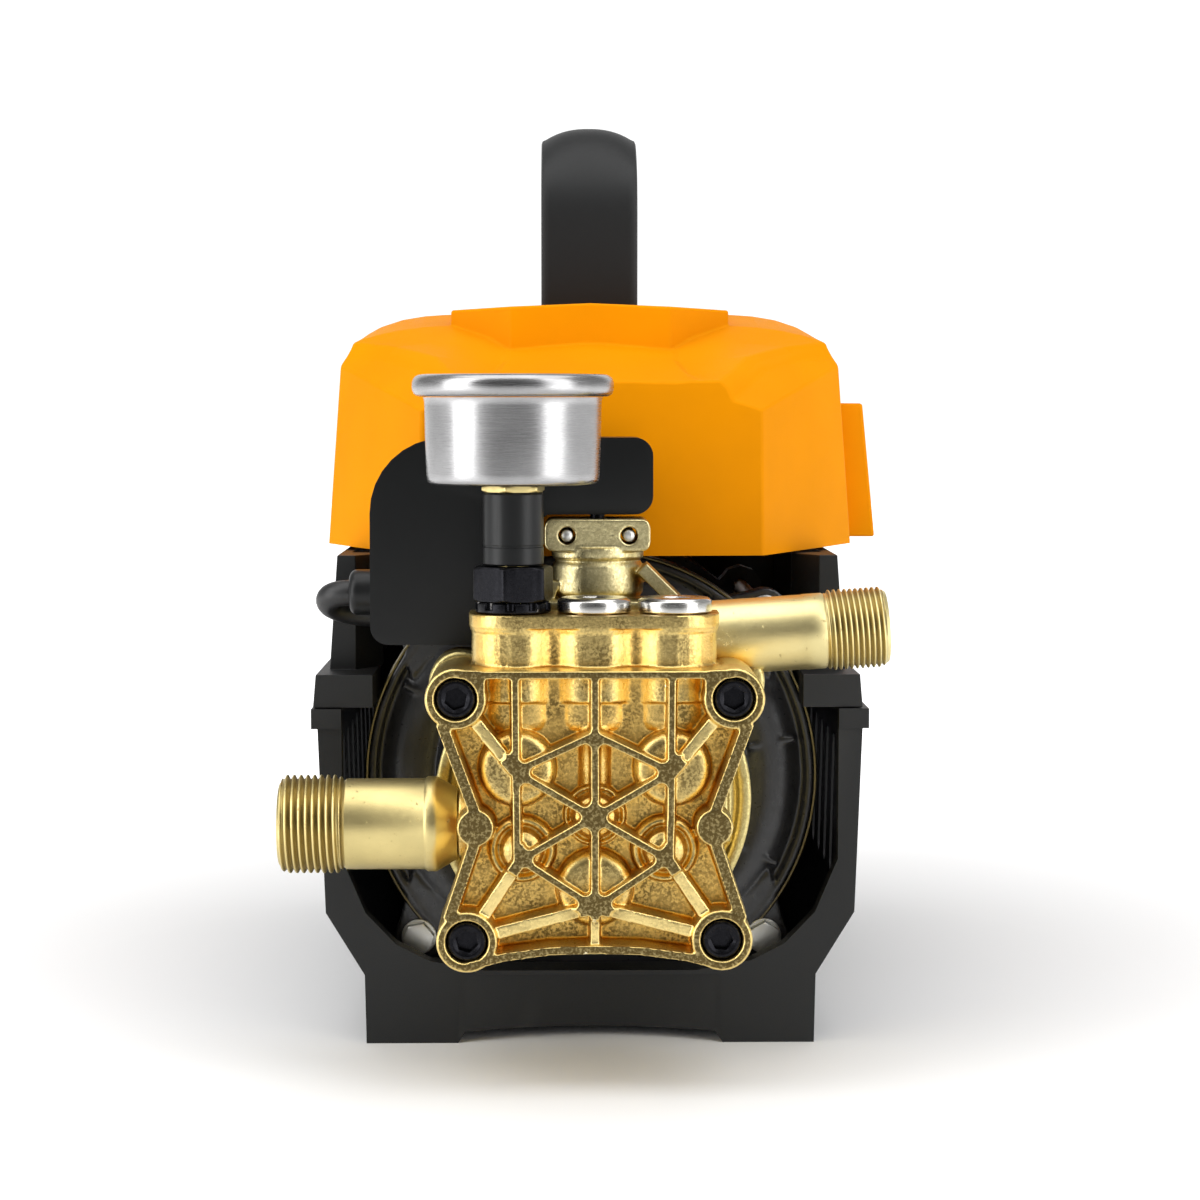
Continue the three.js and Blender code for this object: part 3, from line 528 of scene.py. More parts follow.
def cast_metal(name, body, pale, deep, speckle, face=None):
    """Tumbled gold casting: grainy flats, bright worn edges, painted shade and painted orange bounce light
    along the pockets' fillets.

    face is the depth of the foremost face: what lies level with it is darkened, partly as tumbled tone and
    partly as painted shade; every flat facing the front also gets painted shade."""
    look = Look(name, 0.34, 1.0)
    broad = look.span(look.noise(0.045, 3), 0.35, 0.65)
    tone = look.mix(broad, body, tuple(c * 0.88 for c in body))
    # painted shade and painted bounce light: the colour turns deep orange where the pockets hide the sky
    pocket = look.span(look.hollow(5), 0.3, 0.9)
    tone = look.mix(look.times(pocket, 0.9), tone, deep)
    fine = look.noise(1.25, 4, 0.66)
    if face is None:
        dots = look.times(look.span(fine, 0.42, 0.56), 0.35)
    else:
        def facing(low, high):
            return look.facing((0, -1, 0), low, high)

        def between(start, full, fade, end):
            """1 between two depths behind the face."""
            rise = look.span(depth, face + start, face + full)
            return look.times(rise, look.span(depth, face + end, face + fade))

        depth = look.part(look.place, 1)
        level = look.times(look.span(depth, face + 0.75, face + 0.3), facing(0.90, 0.97))
        step, floor = between(0.8, 1.0, 2.2, 2.5), between(6.5, 9.0, 12, 13)
        # painted shade: flats facing the front are darkened, less so deep in the pockets
        flat = look.times(facing(0.88, 0.99), look.math("SUBTRACT", 0.62, pocket))
        tone = look.mix(flat, tone, GOLD_FLAT_SHADE)
        # painted shade and painted bounce light on the pocket floors, 6.5 to 13 mm behind the face
        tone = look.mix(look.times(floor, 0.6), tone, GOLD_FLOOR_SHADE)
        tone = look.mix(look.times(step, 0.85), tone, GOLD_STEP)
        # foremost flats: partly tumbled tone, partly painted shade
        tone = look.mix(look.times(level, 0.9), tone, GOLD_TUMBLED_AND_SHADE)
        grain = look.math("ADD", fine, look.times(level, 0.05))
        patches = look.span(look.noise(0.16, 2), 0.38, 0.62, 0.30, 0.80)
        cover = look.blend(level, look.times(facing(0.80, 0.99), patches), 0.95)
        cover = look.math("SUBTRACT", cover, look.times(step, 0.55))
        dots = look.times(look.span(grain, 0.45, 0.56), cover)
    tone = look.mix(dots, tone, speckle)
    worn = look.times(look.edges(0.56, 0.62), look.span(look.noise(0.5, 3), 0.25, 0.45))
    tone = look.mix(worn, tone, pale)
    look.colour(tone)
    rough = look.span(look.noise(2.4, 3, 0.6), 0.3, 0.7, 0.24, 0.38)
    rough = look.blend(dots, rough, 0.5)
    look.roughness(look.blend(worn, rough, 0.2))
    look.relief((fine, 0.085), (look.noise(0.5, 2), 0.12))
    return look.material


def tube_metal(name, colour, dark):
    """Satin brass of the turned fittings, with dark pits and painted shade in the thread roots."""
    look = Look(name, 0.38, 1.0)
    tone = look.mix(look.span(look.noise(0.08, 3), 0.35, 0.7), colour, tuple(c * 0.84 for c in colour))
    pits = look.span(look.noise(0.55, 6, 0.75), 0.63, 0.70)
    tone = look.mix(look.times(pits, 0.6), tone, dark)
    # painted shade: darker where the thread roots hide the sky
    tone = look.mix(look.times(look.hollow(1.6), 0.75), tone, dark)
    tone = look.mix(look.times(look.edges(), 0.6), tone, tuple(min(1, c * 1.2) for c in colour))
    look.colour(tone)
    grain = look.noise(3.0, 3, 0.6)
    look.roughness(look.span(grain, 0.3, 0.7, 0.30, 0.48))
    look.relief((grain, 0.025), (pits, -0.08))
    return look.material


def bright_steel(name, colour, roughness, scratch, turned=True):
    """Turned or rolled steel: fine rings round the Z axis, hairline scratches and specks."""
    look = Look(name, roughness, 1.0)
    rings = look.noise(1.0, 2, 0.6, (0.15, 0.15, 9.0) if turned else (2, 2, 2))
    specks = look.span(look.noise(1.4, 5, 0.8), 0.66, 0.72)
    cloud = look.span(look.noise(0.09, 3), 0.35, 0.7)
    tone = look.mix(cloud, colour, tuple(c * 0.82 for c in colour))
    look.colour(look.mix(look.times(specks, 0.5), tone, tuple(c * 0.35 for c in colour)))
    look.roughness(look.span(rings, 0.3, 0.7, roughness * 0.75, roughness * 1.35))
    look.relief((rings, scratch), (specks, -0.01))
    return look.material


def dark_steel():
    look = Look("black_oxide_steel", 0.38, 0.9)
    worn = look.times(look.edges(0.53, 0.60), look.span(look.noise(0.9, 3), 0.45, 0.6))
    tone = look.mix(look.noise(1.1, 3), (0.006, 0.006, 0.008), (0.016, 0.016, 0.019))
    look.colour(look.mix(look.times(worn, 0.5), tone, (0.20, 0.19, 0.18)))
    grain = look.noise(4.0, 2)
    look.roughness(look.span(grain, 0.3, 0.7, 0.22, 0.38))
    look.relief((grain, 0.012))
    return look.material


def moulded(name, colour, roughness, grain_per_mm, depth, edge_wear_and_highlight=0.35, specular=0.5, coat=0.0):
    """Moulded plastic: spark-eroded texture, slightly paler edges that are partly wear and partly painted
    highlight, faint flow clouds.
    """
    look = Look(name, roughness, 0.0, Specular_IOR_Level=specular, Coat_Weight=coat, Coat_Roughness=0.35)
    cloud = look.span(look.noise(0.03, 3), 0.3, 0.7)
    tone = look.mix(cloud, colour, tuple(c * 0.90 for c in colour))
    pale = tuple(min(1, c * 1.12 + 0.015) for c in colour)
    # paler edges: partly wear, partly a painted highlight along the bevels
    tone = look.mix(look.times(look.edges(0.52, 0.60), edge_wear_and_highlight), tone, pale)
    dust = look.span(look.noise(0.9, 6, 0.8), 0.70, 0.76)
    look.colour(look.mix(look.times(dust, 0.25), tone, pale))
    grain = look.noise(grain_per_mm, 3, 0.55)
    look.roughness(look.span(grain, 0.3, 0.7, roughness * 0.85, roughness * 1.2))
    look.relief((grain, depth), (look.noise(0.06, 2), depth * 4))
    return look.material


def painted_iron():
    look = Look("black_motor_paint", 0.36, 0.0, Coat_Weight=0.25, Coat_Roughness=0.25)
    tone = look.mix(look.noise(0.2, 4), (0.014, 0.014, 0.015), (0.027, 0.027, 0.029))
    chips = look.times(look.edges(0.55, 0.62), look.span(look.noise(0.6, 4), 0.52, 0.6))
    look.colour(look.mix(look.times(chips, 0.3), tone, (0.12, 0.11, 0.10)))
    peel = look.noise(0.8, 3)
    look.roughness(look.span(peel, 0.3, 0.7, 0.26, 0.44))
    look.relief((peel, 0.04), (look.noise(3.0, 2), 0.01))
    return look.material


def bare_iron():
    look = Look("bare_turned_edge", 0.42, 1.0)
    look.colour(look.mix(look.noise(0.5, 4), (0.26, 0.23, 0.17), (0.13, 0.12, 0.09)))
    rings = look.noise(1.0, 2, 0.5, (0.2, 9.0, 0.2))
    look.roughness(look.span(rings, 0.3, 0.7, 0.32, 0.52))
    look.relief((rings, 0.03))
    return look.material


def laminations():
    look = Look("stacked_laminations", 0.42, 0.9)
    sheets = look.noise(1.0, 1, 0.5, (0.02, 2.0, 0.02))
    tone = look.mix(look.span(sheets, 0.4, 0.6), (0.17, 0.17, 0.18), (0.33, 0.33, 0.35))
    rust = look.span(look.noise(0.15, 5, 0.7), 0.60, 0.72)
    look.colour(look.mix(look.times(rust, 0.5), tone, (0.20, 0.10, 0.05)))
    look.roughness(look.span(sheets, 0.35, 0.65, 0.3, 0.55))
    look.relief((look.span(sheets, 0.35, 0.65), 0.12))
    return look.material


def enamelled_wire():
    look = Look("enamelled_copper_wire", 0.3, 0.85, Coat_Weight=0.5)
    strands = look.noise(1.0, 2, 0.5, (2.2, 0.25, 2.2))
    look.colour(look.mix(strands, (0.48, 0.15, 0.05), (0.80, 0.34, 0.14)))
    look.roughness(look.span(strands, 0.3, 0.7, 0.22, 0.4))
    look.relief((strands, 0.35))
    return look.material


def dial_enamel(name, colour, dirt):
    look = Look(name, 0.4, 0.0, Coat_Weight=0.3)
    look.colour(look.mix(look.span(look.noise(0.2, 4), 0.3, 0.7), colour, dirt))
    fine = look.noise(2.0, 2)
    look.roughness(look.span(fine, 0.3, 0.7, 0.32, 0.48))
    look.relief((fine, 0.01))
    return look.material


def clear_glass():
    look = Look("clear_glass", 0.02, 0.0, Transmission_Weight=1.0, IOR=1.45)
    smears = look.span(look.noise(0.12, 3), 0.45, 0.75)
    look.colour(look.mix(smears, (1.0, 1.0, 1.0), (0.93, 0.97, 0.96)))
    look.roughness(look.span(smears, 0, 1, 0.01, 0.06))
    return look.material


# each casting's fourth argument is the colour of the painted shade in its pockets
CAST = cast_metal("cast_gold", GOLD, GOLD_PALE, GOLD_POCKET_SHADE, GOLD_GRAIN, FACE_Y / MM)
CAST_PALE = cast_metal("cast_gold_pale", (0.80, 0.70, 0.38), GOLD_PALE,
                       (0.50, 0.36, 0.10), (0.26, 0.20, 0.08))
CAST_PLAIN = cast_metal("cast_gold_plain", (0.65, 0.55, 0.24), GOLD_PALE,
                        (0.42, 0.27, 0.06), (0.30, 0.22, 0.07))
BRASS = tube_metal("satin_brass", (0.68, 0.56, 0.25), (0.20, 0.13, 0.04))
OUTLET_BRASS = tube_metal("outlet_brass", (0.76, 0.65, 0.32), (0.26, 0.17, 0.06))
STEEL = bright_steel("spun_steel", (0.39, 0.387, 0.39), 0.25, 0.010)
CHROME = bright_steel("plated_plug", (0.70, 0.69, 0.66), 0.22, 0.004)
ZINC = bright_steel("zinc_plate", (0.80, 0.80, 0.77), 0.42, 0.006, turned=False)
OXIDE = dark_steel()
BLACK = moulded("black_plastic", (0.0075, 0.008, 0.0083), 0.48, 3.2, 0.014, specular=0.30)
BLACK_SMOOTH = moulded("black_plastic_smooth", (0.0058, 0.0063, 0.0065), 0.34, 3.5, 0.006, 0.6, 0.28)
BLACK_FRAME = moulded("black_frame_plastic", (0.0060, 0.0065, 0.0067), 0.50, 3.0, 0.008, 0.5, 0.45)
ORANGE = moulded("orange_plastic", (0.78, 0.27, 0.0004), 0.55, 2.8, 0.012, 0.10, 0.03)
PAINT = painted_iron()
BARE = bare_iron()
LAMINATED = laminations()
COPPER = enamelled_wire()
RUBBER = moulded("cable_rubber", (0.010, 0.010, 0.0105), 0.42, 2.0, 0.008, 0.0)
DIAL = dial_enamel("dial_enamel", (0.88, 0.88, 0.85), (0.80, 0.80, 0.76))
INK = dial_enamel("dial_ink", (0.012, 0.012, 0.014), (0.02, 0.02, 0.02))
RED = moulded("red_plastic", (0.45, 0.012, 0.008), 0.32, 2.5, 0.005, 0.2)
GLASS = clear_glass()


# ------------------------------------------------------------------ pump head casting
FLOOR_Y = 9.6
ROOT_Y = FLOOR_Y + 1
STEP_Y = 1.3
RIB_DRAFT = 0.35
BOSS_R = 8.0
TOP_BOLTS = [(-36, 105), (36, 105)]
LOW_BOLTS = [(-33.3, 41.6), (33, 42)]
BOLTS = TOP_BOLTS + LOW_BOLTS
PADS = [(-31, 71.5), (31, 71.5)]
BANK_X = (-21.3, 0.0, 21.3)
BANK_Y = 17.5
PLATE_Z, PLATE_R = (122.8, 126.1), 11.7
INLET_Y, INLET_Z = 22.0, 69.4
PLUNGER_R = 6.0
PLUNGERS = circle((0, SHAFT_Z), 22.5, np.radians((150, 30, 270)))


def rib(start, end, width, top, bottom, trim=(0, 0), ends=(1, 1)):
    """A straight drafted rib in the XZ plane, down to depth bottom; trim shortens it and ends widens it.

    top is the depth of its upper face, or a pair of depths, start and end."""
    a, b = np.array(start, float), np.array(end, float)
    run = (b - a) / np.linalg.norm(b - a)
    a, b = a + run * trim[0], b - run * trim[1]
    side = np.array([-run[1], run[0]])
    tops = top if isinstance(top, tuple) else (top, top)

    def ring(half, depths):
        verts = []
        for point, sign, i in ((a, 1, 0), (b, 1, 1), (b, -1, 1), (a, -1, 0)):
            out = sign * side * half * ends[i]
            verts.append((point[0] + out[0], depths[i], point[1] + out[1]))
        return verts

    return loft([ring(width / 2, tops), ring(width / 2 + RIB_DRAFT, (bottom, bottom))])


def web(centre, others, top, bottom, half=1.0, fill=1.5):
    """The flat pad where ribs meet: rib edges joined by hollow fillets."""
    turns = sorted(math.atan2(b - centre[1], a - centre[0]) for a, b in others)
    outline = []
    for a, b in zip(turns, turns[1:] + [turns[0] + 2 * math.pi]):
        gap = b - a
        if gap > 0.95 * math.pi:
            outline += circle(centre, half, (a + math.pi / 2, b - math.pi / 2))
            continue
        radius = max(0.3, min(fill, 5.5 * math.tan(gap / 2) - half))
        away = (half + radius) / math.sin(gap / 2)
        middle = circle(centre, away, [(a + b) / 2])[0]
        outline += circle(middle, radius, np.linspace(a + 1.5 * math.pi, b + 0.5 * math.pi, 7))
    return extrude("y", outline, top, bottom)


def head_ribs():
    top, centre, bottom = (0, 95.7), (-0.2, 74.2), (0, 50.6)
    up_left, up_right = (-20.7, 86.2), (20, 86)
    low_left, low_right = (-19.2, 63.2), (18.8, 63.2)
    flat = [
        (top, up_left), (top, up_right), (up_left, centre), (up_right, centre), (centre, low_left),
        (centre, low_right), (low_left, bottom), (low_right, bottom), ((0, 112), bottom),
        ((-20.7, 112), (-20.2, 62)), ((20, 112), (19.5, 62)),
    ]
    tl, tr, bl, br = BOLTS
    low = [(tl, up_left), (tr, up_right), (bl, low_left), (br, low_right), (bl, bottom), (br, bottom)]
    shapes = [rib(a, b, 2.0, 0, ROOT_Y) for a, b in flat]
    for a, b in low:
        shapes.append(rib(a, b, 3.0, (STEP_Y + 0.5, 0.6), ROOT_Y, trim=(6.2, 0.5), ends=(1.1, 1.0)))
    for a, b in low:
        run = np.subtract(a, b) / np.linalg.norm(np.subtract(a, b))
        shapes.append(rib(b, b + run * 4.3, 3.2, 0, ROOT_Y))
    shapes.append(rib(bottom, (0, 38.5), 2.3, (0.4, STEP_Y + 0.3), ROOT_Y))
    lattice = flat[:8] + low + [((0, 112), top), (top, centre), (centre, bottom), (bottom, (0, 38.5))]
    for x, up, down in ((-20.45, up_left, low_left), (19.75, up_right, low_right)):
        lattice += [((x, 112), up), (up, down)]
    for node in (top, centre, bottom, up_left, up_right, low_left, low_right):
        others = [b if a == node else a for a, b in lattice if node in (a, b)]
        shapes.append(web(node, others, 0, ROOT_Y))
    return shapes


def head_rim():
    """The waisted edge that joins corner bosses, pads and the top and bottom edges."""
    shapes = []
    for side in (-1, 1):
        corner, waist, low = (side * 39.6, 98.6), (side * 30.2, 73.0), (side * 38.0, 47.4)
        shapes.append(rib(corner, waist, 3.0, 0.2, ROOT_Y))
        shapes.append(rib((side * 30.2, 70.5), low, 3.0, 0.2, ROOT_Y))
        shapes.append(rib((side * 28.8, 111.2), (side * 36, 111.6), 2.3, 0, ROOT_Y))
        shapes.append(block(sorted((side * 28.4, side * 30.3)), (0, ROOT_Y), (103.5, 112)))
    edge = [(-33, 35.2), (-24, 37.6), (-12, 39.2), (0, 39.6), (12, 39.2), (24, 37.6), (33, 35.2)]
    shapes += [rib(a, b, 2.2, 0.2, ROOT_Y, trim=(-0.4, -0.4)) for a, b in zip(edge, edge[1:])]
    shapes.append(rib((-30, 111.3), (30, 111.3), 2.0, 0, ROOT_Y))
    return shapes


def bank_outline():
    """Plan of the valve bank: three soft crests in front, round ends, a flat back."""
    crest, valley, end_r, back = 6.2, 9.8, 11.0, 28.0
    pitch = BANK_X[2]
    front = []
    for x in np.linspace(-pitch, pitch, 49):
        wave = 0.5 - 0.5 * math.cos(2 * math.pi * x / pitch)
        front.append((x, crest + (valley - crest) * wave ** 2.2))
    left = circle((-pitch, BANK_Y), end_r, degrees(180, 262, 10))
    right = [(-x, y) for x, y in reversed(left)]
    return [(-pitch - end_r, back)] + left + front + right + [(pitch + end_r, back)]


def squashed(x, y, half_width, half_depth, low, high, soft=1.6):
    """An upright column of oval section with rounded ends."""
    profile = [(0, low), (half_width - soft, low), (half_width - soft * 0.35, low + soft * 0.3),
               (half_width, low + soft), (half_width, high), (0, high)]
    verts, faces = lathe("z", profile, segments=64)
    return verts * np.array([1, half_depth / half_width, 1]) + np.array([x, y, 0]), faces


def dome(place, radius, top, bottom, soft=2.5, crown=0.4):
    """A low round boss with a rolled edge and a nearly flat top."""
    profile = [(0, top), (radius - soft, top + crown)]
    profile += [(radius - soft + soft * math.sin(t), top + crown + soft * (1 - math.cos(t)))
                for t in np.linspace(0.3, math.pi / 2, 5)]
    return lathe("y", profile + [(radius, bottom), (0, bottom)], place, 64)


def ringed_boss(place, outer, groove, centre):
    """A boss with a ring groove round a domed middle."""
    profile = [(0, 2.6), (centre * 0.6, 2.9), (centre * 0.92, 3.9), (centre, 5.2), (groove[0], 6.6),
               (groove[1], 6.6), (groove[1] + 0.5, 5.4), (outer - 0.9, 5.2), (outer, 6.2), (outer, ROOT_Y),
               (0, ROOT_Y)]
    return lathe("y", profile, place, 64)


def head_back():
    """The block behind the ribs, with the three plunger bores open to the rear."""
    body = make_object("head_back", block((-32, 32), (12, 35), (41, 113)))
    bore = [(0, 17), (PLUNGER_R + 0.4, 17), (PLUNGER_R + 0.4, 40), (0, 40)]
    carve(body, *[lathe("y", bore, place, 40) for place in PLUNGERS])
    return take_shape(body)


def valve_bank():
    """The upright bank behind the top edge, with its step and top plate."""
    step = [(x * 1.012, BANK_Y + (y - BANK_Y) * 1.03) for x, y in bank_outline()]
    plate = circle((BANK_X[2], BANK_Y), PLATE_R, degrees(-90, 0, 13)) + [(33, 28), (-33, 28)]
    plate += circle((BANK_X[0], BANK_Y), PLATE_R, degrees(180, 270, 13))
    return [extrude("z", bank_outline(), 103.3, PLATE_Z[0] - 0.9),
            extrude("z", step, PLATE_Z[0] - 1.0, PLATE_Z[0] + 0.4), extrude("z", plate, *PLATE_Z)]


def pump_head():
    waist = mirror([(0, 112.6), (22.5, 112.6), (22.5, 103.4), (30.4, 103.4), (30.4, 112.8), (36, 112.8),
                    (42.6, 102), (32.0, 76), (31.2, 72), (32.0, 68), (39.6, 46), (33, 34.4), (20, 37.2),
                    (8, 38.7), (0, 38.9)])
    shapes = [extrude("y", waist, FLOOR_Y, 12.4), head_back()]
    boss = [(5.5, 0.5), (5.9, 0), (BOSS_R - 0.6, 0), (BOSS_R, 0.6), (BOSS_R, 35), (5.5, 35)]
    shapes += [lathe("y", boss, place, 72, close=True) for place in BOLTS]
    pad = [(0, 0), (4.4, 0), (4.8, 0.4), (5.1, 10), (0, 10)]
    shapes += [lathe("y", pad, place, 48) for place in PADS]
    shapes += head_ribs() + head_rim()
    shapes += [dome(p, 10.1, 3.0, ROOT_Y, 3.3) for p in ((-20.2, 86.3), (20.2, 86.3), (0, 54.8))]
    shapes += [ringed_boss(p, 8.7, (5.9, 6.5), 5.4) for p in ((-19, 65), (18.3, 65))]
    shapes.append(ringed_boss((0, 74), 8.0, (6.4, 6.9), 5.6))
    shapes += [squashed(x, 11.4, 8.7, 3.7, 95.8, 104.5, 2.2) for x in (-20.2, -0.3, 20.2)]
    shapes.append(squashed(0, 11.4, 4.6, 4.4, 75, 97, 2.0))
    shapes += valve_bank()
    shapes.append(lathe("x", [(0, -36), (9, -36), (9.6, -30), (0, -30)], (INLET_Y, INLET_Z), 48))
    casting("pump_head_casting", shapes, 0.40, 1, 0.42, CAST, ["pump_head"], "cast_gold")


def socket_screw(x, z, turn):
    """A socket head cap screw, ring by ring: knurled side, flat top, coned lip, hexagon socket."""
    count, r, across = 96, 5.1, 5.3
    angles = [2 * math.pi * k / count for k in range(count)]
    knurled = [r - 0.1 * (k % 2) for k in range(count)]
    hexagon = [across / 2 / math.cos((a - turn) % (math.pi / 3) - math.pi / 6) for a in angles]

    def ring(reaches, y):
        return [(x + reach * math.cos(a), y, z + reach * math.sin(a)) for reach, a in zip(reaches, angles)]

    outside = [(3, 49.6), (3, 5.3), (r - 0.3, 5.3), (r, 5.0)]
    lip = [(r - 0.05, 1.5), (r - 0.35, 1.1), (r - 0.7, 0.95), (3.75, 0.95), (3.6, 1.02)]
    rings = [ring([radius] * count, y) for radius, y in outside] + [ring(knurled, 1.7)]
    rings += [ring([radius] * count, y) for radius, y in lip] + [ring(hexagon, 1.5), ring(hexagon, 4.0)]
    return loft(rings)


def head_bolts():
    for i, (x, z) in enumerate(BOLTS):
        piece(f"head_bolt_{i + 1}_socket_screw", socket_screw(x, z, 0.35 + 0.2 * i), OXIDE,
              [f"head_bolt_{i + 1}"], "black_steel")


def threaded(axis, at, pitch, root, crest, start, end, before, after, segments=96, columns=8):
    """A turned piece with a helical thread from start to end.

    before and after are the profile points round the thread."""
    def reach(position, phase):
        flank = abs(((phase + 0.5) % 1.0) - 0.5) * 2
        height = np.clip((flank - 0.18) / 0.62, 0, 1)
        lead = min(1.0, max(0.0, min(position - start, end - position) / (pitch * 0.6)))
        return root + (crest - root) * height * (0.25 + 0.75 * lead)

    rows = int(math.ceil((end - start) / pitch + 2)) * columns
    verts, faces = [], []
    for k in range(segments + 1):
        for j in range(rows + 1):
            position = start - pitch + pitch * (j / columns + k / segments)
            clipped = min(max(position, start), end)
            r = reach(clipped, j / columns)
            if clipped != position:
                r = root + (crest - root) * 0.15
            angle = 2 * math.pi * k / segments
            verts.append((r * math.cos(angle), r * math.sin(angle), clipped))
    for k in range(segments):
        for j in range(rows):
            a = k * (rows + 1) + j
            faces.append((a, a + 1, a + rows + 2, a + rows + 1))
    wall = root + (crest - root) * 0.15
    profile = [(wall, end)] + list(after) + list(before) + [(wall, start)]
    body = lathe("z", profile, (0, 0), segments)
    shape = merge((np.array(verts), faces), body)
    return along(axis, shape[0], at), shape[1]


def inlet_fitting():
    tip, thread_end = -83.6, -66.9
    before = [(9.0, -44.0), (9.0, tip), (10.9, tip), (11.6, tip + 0.6)]
    after = [(11.5, thread_end + 0.2), (11.7, thread_end + 0.7), (12.05, thread_end + 1.1), (12.1, -45.0),
             (12.3, -44.7), (12.65, -44.2), (12.65, -42.0), (12.4, -41.4), (9.6, -36.7), (9.3, -36.3),
             (5.6, -36.3)]
    fitting = make_object("inlet_threaded_fitting", threaded(
        "x", (INLET_Y, INLET_Z), 1.81, 11.95, 13.1, tip + 0.6, thread_end, before, after))
    weld(fitting)
    finish(fitting, BRASS, ["inlet_fitting"], "brass", angle=38)


OUTLET_START = (31.0, 117.2)
OUTLET_Y, OUTLET_SLOPE = 41.0, 3.8


def outlet_tube():
    slope = math.radians(OUTLET_SLOPE)
    length = (80 - OUTLET_START[0]) / math.cos(slope)
    thread_start = length - 16.5
    before = [(7.5, length), (7.5, 0.0), (10.2, 0.0), (10.2, thread_start - 6.4), (10.32, thread_start - 6.0),
              (10.32, thread_start - 0.9), (10.0, thread_start - 0.4)]
    after = [(9.6, length)]
    verts, faces = threaded("x", (0, 0), 1.5, 10.05, 11.0, thread_start, length - 0.9, before, after)
    verts = np.asarray(verts)
    x = OUTLET_START[0] + verts[:, 0] * math.cos(slope) - verts[:, 2] * math.sin(slope)
    z = OUTLET_START[1] + verts[:, 0] * math.sin(slope) + verts[:, 2] * math.cos(slope)
    tube = make_object("outlet_threaded_tube", (np.column_stack([x, verts[:, 1] + OUTLET_Y, z]), faces))
    weld(tube)
    finish(tube, OUTLET_BRASS, ["outlet_tube"], "cast_gold", angle=38)


def valve_plug(name, x, node):
    at, top = (x, BANK_Y), 130.2
    plug = make_object(name, lathe("z", [
        (0, 116), (7.2, 116), (7.2, 126.4), (9.55, 126.4), (9.75, 126.6), (9.75, 129.1), (9.6, 129.5),
        (8.9, top - 0.1), (8.6, top), (0, top)], at, 96))
    carve(plug, extrude("z", circle(at, 3.5, np.radians(np.arange(0, 360, 60) + 17)), 127, 131))
    bevel(plug, 0.12, 2, 40)
    finish(plug, CHROME, [node], "chrome")


# ------------------------------------------------------------------ unloader
TOWER_X, TOWER_Y = 1.3, 47.5
PIN_Z = 145.4
PINS = {"left": TOWER_X - 8.4, "right": TOWER_X + 8.4}


def flange_block():
    """The top block, bored for the piston and its two pins."""
    corners = [(-13.1, 141.2), (15.4, 141.2), (15.4, 149.8), (-13.1, 149.8)]
    outline = fillet([(x, z, 2.2) for x, z in corners], 5)
    shell = make_object("flange_block", extrude("y", outline, TOWER_Y - 11, TOWER_Y + 11))
    pin_hole = [(0, 30), (2.35, 30), (2.35, 65), (0, 65)]
    carve(shell, lathe("z", [(0, 130), (6, 130), (6, 151), (0, 151)], (TOWER_X, TOWER_Y), 48),
          *[lathe("y", pin_hole, (x, PIN_Z), 40) for x in PINS.values()])
    return take_shape(shell)


def unloader():
    at = (TOWER_X, TOWER_Y)
    tower = [(6, 118), (10.5, 118), (10.5, 127), (12.4, 129.6), (12.5, 130.4), (12.5, 136.8), (12.0, 137.8),
             (11.5, 138.2), (11.6, 138.6), (12.5, 139.2), (12.6, 139.8), (12.6, 142), (6, 142)]
    shapes = [
        lathe("z", tower, at, 96, close=True),
        block((-12, 29.9), (29.6, 53), (117.8, 128)),
        rib((13.2, 136.6), (23.5, 126.5), 3.6, 37, 46),
        rib((-10.5, 133), (-12.5, 126), 3.0, 40, 50),
        flange_block(),
    ]
    casting("unloader_casting", shapes, 0.4, 2, 0.5, CAST_PALE, ["unloader_housing"], "cast_gold")
    for side, x in PINS.items():
        pin = [(0, TOWER_Y - 10.6), (0.9, TOWER_Y - 10.5), (1.5, TOWER_Y - 10.1), (1.75, TOWER_Y - 9.5),
               (1.75, TOWER_Y + 9.5), (1.5, TOWER_Y + 10.1), (0, TOWER_Y + 10.4)]
        piece(f"unloader_pin_{side}_dowel", lathe("y", pin, (x, PIN_Z), 40), ZINC,
              [f"unloader_pin_{side}"], "zinc_steel")
    piston = [(0, 124), (5.2, 124), (5.6, 124.4), (5.6, 128), (5.1, 128.3), (5.1, 130), (5.6, 130.3),
              (5.6, 137.6), (5.2, 138), (2, 138.6), (2, 152.8), (1.6, 153.2), (0, 153.2)]
    piece("unloader_piston_rod", lathe("z", piston, at, 48), OXIDE, ["unloader_piston"], "black_steel",
          "unloader")


# ------------------------------------------------------------------ gauge
GAUGE_AT = (BANK_X[0], BANK_Y)
ZERO_TURN = 225
FULL_SWEEP = 270
DIAL_Z = (177.4, 178.2)
INK_Z = (178.15, 178.26)


def hex_stock(axis, centre, across_flats, low, high, turn, chamfer):
    """Hexagon stock whose corners are turned down at both ends, as on a nut."""
    corner, flat, count = across_flats / math.sqrt(3), across_flats / 2, 72
    rings = []
    for h, drop in ((low, chamfer), (low + chamfer * 0.55, 0), (high - chamfer * 0.55, 0), (high, chamfer)):
        ring = []
        for k in range(count):
            sector = 2 * math.pi * k / count
            angle = math.radians(turn) + sector
            r = min(flat / math.cos(sector % (math.pi / 3) - math.pi / 6), corner - drop)
            ring.append((r * math.cos(angle), r * math.sin(angle), h))
        rings.append(ring)
    verts, faces = loft(rings)
    return along(axis, verts, centre), faces


